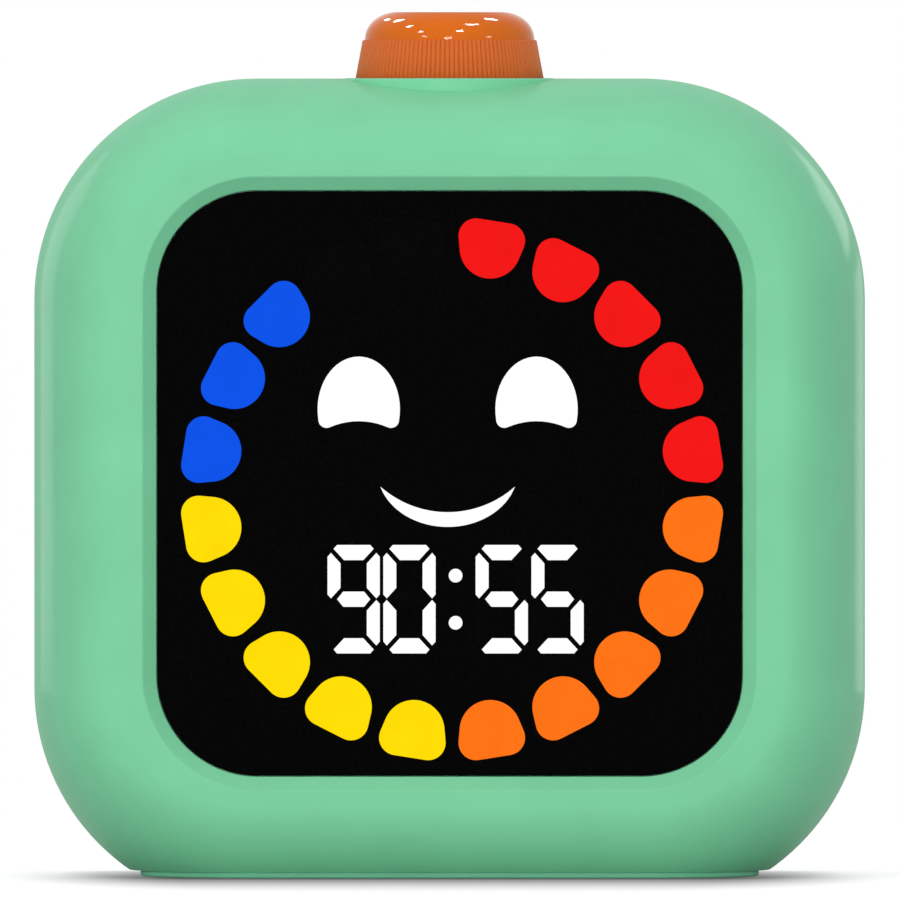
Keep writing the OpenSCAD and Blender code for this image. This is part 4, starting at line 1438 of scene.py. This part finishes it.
@dataclass
class Inside(Part):
    """Frame nodes that keep their own shape and only get a finish."""

    MADE = {"front_housing", "rear_cover", "base_pad", "knob_skirt", "knob_cap", "foam_pad", "switch_dome"}

    def dress(self) -> None:
        """Gives each kept node the finish of its slot."""
        slots = {row["node"]: row["material_slot"] for row in frame["record"]["subparts"]}
        for name, node in frame["nodes"].items():
            if name in self.MADE:
                continue
            for holder in node.material_slots:
                holder.material = self.paints.get(slots[name])
            log.info("%s: %s", name, slots[name])


@dataclass(frozen=True)
class Lamp:
    """Rectangular panel of light: its place and size in metres and its power in watts."""

    name: str
    place: Place
    size: Pair
    power: float

    def make(self) -> Piece:
        """Makes the panel at the origin.

        Returns:
            The new lamp.
        """
        data = bpy.data.lights.new(self.name, "AREA")
        data.shape = "RECTANGLE"
        data.size, data.size_y = self.size
        data.energy = self.power
        panel = bpy.data.objects.new(self.name, data)
        bpy.context.scene.collection.objects.link(panel)
        return panel


@dataclass(frozen=True)
class Glint:
    """Bright dash on the dome, placed as it shows from the front, in millimetres and degrees."""

    side: float
    height: float
    length: float
    lean: float
    share: float = 1.0
    thick: float = 0.13


# Panels that light the room and show in no reflection
LAMPS = (
    Lamp("over", (0.0, 0.15, 0.9), (1.0, 1.0), 2.2),
    Lamp("top", (0.0, -0.75, 0.85), (0.8, 0.8), 0.3),
    Lamp("left", (-0.9, -0.55, 0.4), (0.6, 0.8), 1.75),
    Lamp("right", (0.9, -0.55, 0.4), (0.6, 0.8), 0.3),
    Lamp("low", (0.0, -1.2, 0.12), (1.0, 0.2), 6.0),
)
# Panels behind the object that show only as streaks along the edge of the front shell
RIMS = (
    Lamp("rim_left", (-0.494, 0.8, 0.2), (0.3, 0.4), 0.55),
    Lamp("rim_right", (0.326, 0.86, 0.05), (0.234, 0.1), 0.11),
    Lamp("rim_high", (0.39, 0.8, 0.24), (0.25, 0.18), 0.353),
)
# Dashes that show on the dome
GLINTS = (
    Glint(-6.4, 87.53, 0.46, 18.0),
    Glint(-5.2, 87.45, 0.58, 26.0),
    Glint(-4.1, 86.86, 0.46, 25.0),
    Glint(-2.93, 86.32, 0.38, 17.0),
    Glint(-2.55, 85.83, 0.4, -5.0, 0.4),
    Glint(-0.17, 85.7, 0.75, 3.0, 0.4),
    Glint(1.03, 86.37, 0.74, 5.0),
    Glint(2.27, 87.03, 1.22, 2.0),
    Glint(4.24, 87.57, 1.26, -5.0),
    Glint(4.0, 85.79, 0.44, -3.0, 0.4),
)


@dataclass
class Studio:
    """Floor, light and camera."""

    lens: float = 1500.0
    sensor: float = 36.0
    view_width: float = 92.1
    clip_lengths: float = 4.0
    elevation: float = 0.6
    aim: Place = (0.04, 0.0, 43.495)
    sky: float = 0.59
    floor_size: float = 40.0
    floor_shade: Colour = (0.55, 0.55, 0.55, 1.0)
    floor_white: Colour = (1.4, 1.4, 1.4, 1.0)
    floor_mottle: float = 1.02
    floor_scale: float = 30.0
    floor_roughness: float = 0.9
    shadow_ring: Pair = (0.3, 0.09)
    # Painted shadow on the floor: occlusion shade at the contact and a drawn shadow pool before and behind
    # the object
    contact_reach: float = 0.005
    contact_share: float = 0.3
    contact_samples: int = 16
    shadow_side: Pair = (0.0465, 0.0265)
    shadow_front: Pair = (-0.09, -0.016)
    shadow_back: Pair = (0.026, -0.016)
    shadow_depth: float = 0.85
    shadow_bend: float = 1.6
    shadow_pinch: float = 0.45
    pinch_bend: float = 2.0
    lamp_shadow: float = 0.25
    glint_distance: float = 0.8
    glint_level: float = 110.0

    def camera(self) -> None:
        """Places the camera level with the object at the far end of a long lens."""
        data = bpy.data.cameras.new("view")
        data.lens = self.lens
        data.sensor_width = self.sensor
        away = self.view_width * MM / self.sensor * self.lens
        data.clip_end = self.clip_lengths * away
        eye = bpy.data.objects.new("view", data)
        bpy.context.scene.collection.objects.link(eye)
        tilt = math.radians(self.elevation)
        eye.location = Vector(self.aim) * MM + away * Vector((0, -math.cos(tilt), math.sin(tilt)))
        eye.rotation_euler = (math.pi / 2 - tilt, 0, 0)
        bpy.context.scene.camera = eye

    def floor(self) -> None:
        """Lays a wide pale floor that shows white to the camera, keeps part of the lamps' own shadow near
        the object and adds a painted shadow under and before it.
        """
        Bench.clear()
        bpy.ops.mesh.primitive_plane_add(size=self.floor_size)
        ground = bpy.context.object
        ground.name = "floor"
        mixer = Mixer("pale_floor")
        mixer.colour(mixer.blend(mixer.noise(self.floor_scale), self.floor_shade,
                                 toned(self.floor_shade, self.floor_mottle)))
        mixer.put(Roughness=self.floor_roughness, Specular_IOR_Level=0.0)
        lit = mixer.add("ShaderNodeBsdfDiffuse")
        lit.inputs["Color"].default_value = self.floor_white
        white = mixer.add("ShaderNodeEmission")
        share = mixer.reckon(Sum.TIMES, self.near(mixer), self.lamp_shadow)
        bright = mixer.mix(share, white.outputs["Emission"], lit.outputs["BSDF"])
        # Black that the painted shadow mixes into the floor
        dark = mixer.add("ShaderNodeEmission")
        dark.inputs["Strength"].default_value = 0.0
        shown = mixer.mix(self.painted_shadow(mixer), dark.outputs["Emission"], bright)
        floor = mixer.mix(mixer.background(), mixer.shader.outputs["BSDF"], shown)
        mixer.join(floor, mixer.tree.nodes["Material Output"].inputs["Surface"])
        ground.data.materials.append(mixer.material)

    def near(self, mixer: Mixer) -> Socket:
        """Marks the floor round the object.

        Args:
            mixer: Floor material.

        Returns:
            One close to the object, falling to nothing further out.
        """
        distance = mixer.add("ShaderNodeVectorMath", operation="LENGTH")
        mixer.join(mixer.place, distance.inputs[0])
        return mixer.run(distance.outputs["Value"], self.shadow_ring)

    def painted_shadow(self, mixer: Mixer) -> Socket:
        """Paints shade on the floor under the object and a soft painted shadow before it.

        Args:
            mixer: Floor material.

        Returns:
            How light the floor shows.
        """
        # Occlusion near the object, painted in as contact shade
        sky = mixer.add("ShaderNodeAmbientOcclusion", samples=self.contact_samples)
        sky.inputs["Distance"].default_value = self.contact_reach
        # Drawn shadow pool, long before the base, short behind it and narrowing further out
        before = mixer.run(mixer.axis("Y"), self.shadow_front, slope=Slope.EVEN)
        behind = mixer.run(mixer.axis("Y"), self.shadow_back)
        pinch = mixer.reckon(Sum.RAISED, mixer.rest(before), self.pinch_bend)
        width = mixer.rest(mixer.reckon(Sum.TIMES, pinch, self.shadow_pinch))
        spread = mixer.reckon(Sum.OVER, mixer.reckon(Sum.SIZE, mixer.axis("X")), width)
        side = mixer.run(spread, self.shadow_side)
        length = mixer.reckon(Sum.LEAST, mixer.reckon(Sum.RAISED, before, self.shadow_bend), behind)
        painted_cast_shadow = mixer.reckon(Sum.TIMES, mixer.reckon(Sum.TIMES, side, length), self.shadow_depth)
        painted_contact_shade = mixer.reckon(Sum.TIMES, mixer.rest(sky.outputs["AO"]), self.contact_share)
        return mixer.reckon(Sum.TIMES, mixer.rest(painted_cast_shadow), mixer.rest(painted_contact_shade))

    def sky_light(self) -> None:
        """Fills the room with even light and shows white behind the object."""
        world = bpy.data.worlds.new("room")
        bpy.context.scene.world = world
        world.use_nodes = True
        wiring = Wiring(world.node_tree)
        shade = world.node_tree.nodes["Background"]
        shade.inputs["Color"].default_value = (1, 1, 1, 1)
        level = wiring.run(wiring.background(), (0.0, 1.0), (self.sky, 1.0), Slope.EVEN)
        wiring.join(level, shade.inputs["Strength"])

    def lamp(self, lamp: Lamp) -> Piece:
        """Hangs one soft panel that looks at the object.

        Args:
            lamp: Panel to hang.

        Returns:
            The panel.
        """
        panel = lamp.make()
        panel.location = lamp.place
        away = Vector(lamp.place) - Vector((0, 0, self.aim[2] * MM))
        panel.rotation_euler = away.to_track_quat("Z", "Y").to_euler()
        return panel

    def mirror_only(self, strips: list[Piece], piece: Piece) -> None:
        """Lets one piece mirror some strips, which light nothing.

        Args:
            strips: Lamps that show only as reflections.
            piece: Piece that shows them.
        """
        only = bpy.data.collections.new(f"{piece.name}_only")
        only.objects.link(piece)
        for strip in strips:
            strip.visible_diffuse = False
            strip.light_linking.receiver_collection = only

    def mirrored(self, knob: Knob, side: float, height: float) -> Vector:
        """Finds where the dome sends the view from the camera at one of its points.

        Args:
            knob: Knob with the dome.
            side: Sideways place of the point in millimetres.
            height: Height of the point in millimetres.

        Returns:
            The mirrored direction.
        """
        turn = math.asin((height - knob.top_z) / knob.cap_height)
        radius = knob.cap_radius - knob.cap_round * (1 - math.cos(turn))
        forward = math.sqrt(radius ** 2 - side ** 2)
        level = math.cos(turn) / knob.cap_round / radius
        normal = Vector((side * level, -forward * level, math.sin(turn) / knob.cap_height)).normalized()
        tilt = math.radians(self.elevation)
        view = Vector((0, -math.cos(tilt), math.sin(tilt)))
        return 2 * normal.dot(view) * normal - view

    def glint(self, knob: Knob, glint: Glint) -> Piece:
        """Hangs the small strip that one glint on the dome mirrors.

        Args:
            knob: Knob with the dome.
            glint: Glint as it shows on the dome.

        Returns:
            The strip.
        """
        lean = math.radians(glint.lean)
        run = Vector((math.cos(lean), math.sin(lean))) * glint.length / 2
        rise = Vector((-math.sin(lean), math.cos(lean))) * glint.thick / 2
        spot = Vector((glint.side, glint.height))
        along = self.mirrored(knob, *(spot + run)) - self.mirrored(knob, *(spot - run))
        across = self.mirrored(knob, *(spot + rise)) - self.mirrored(knob, *(spot - rise))
        away = self.mirrored(knob, *spot)
        size = (along.length * self.glint_distance, across.length * self.glint_distance)
        power = self.glint_level * glint.share * math.pi * size[0] * size[1]
        place = away * self.glint_distance + Vector((0, 0, knob.top_z * MM))
        strip = Lamp("glint", tuple(place), size, power).make()
        sideways = (along - along.dot(away) * away).normalized()
        turned = Matrix((sideways, away.cross(sideways), away)).transposed().to_4x4()
        strip.matrix_world = Matrix.Translation(place) @ turned
        return strip

    def build(self, knob: Knob, dome: Piece, shell: Piece) -> None:
        """Sets up the view.

        Args:
            knob: Sizes of the knob.
            dome: Its dome, which shows the glints.
            shell: Front shell, which shows the rim strips.
        """
        bpy.context.scene.view_settings.view_transform = "Standard"
        self.camera()
        self.floor()
        self.sky_light()
        for lamp in LAMPS:
            self.lamp(lamp).visible_glossy = False
        self.mirror_only([self.lamp(rim) for rim in RIMS], shell)
        self.mirror_only([self.glint(knob, glint) for glint in GLINTS], dome)


def main() -> None:
    """Builds the timer and its studio."""
    logging.basicConfig(level=logging.INFO, format="%(message)s")
    paints = Paintbox()
    body = Body(paints, Shells(), DisplayOpening(), KnobSeat(), BasePad(paints), RearOpenings())
    shell = body.build()
    knob = Knob(paints)
    dome = knob.build()
    CellFoam(paints).build()
    SwitchDome(paints).build()
    Inside(paints).dress()
    Studio().build(knob, dome, shell)


if __name__ == "__main__":
    main()
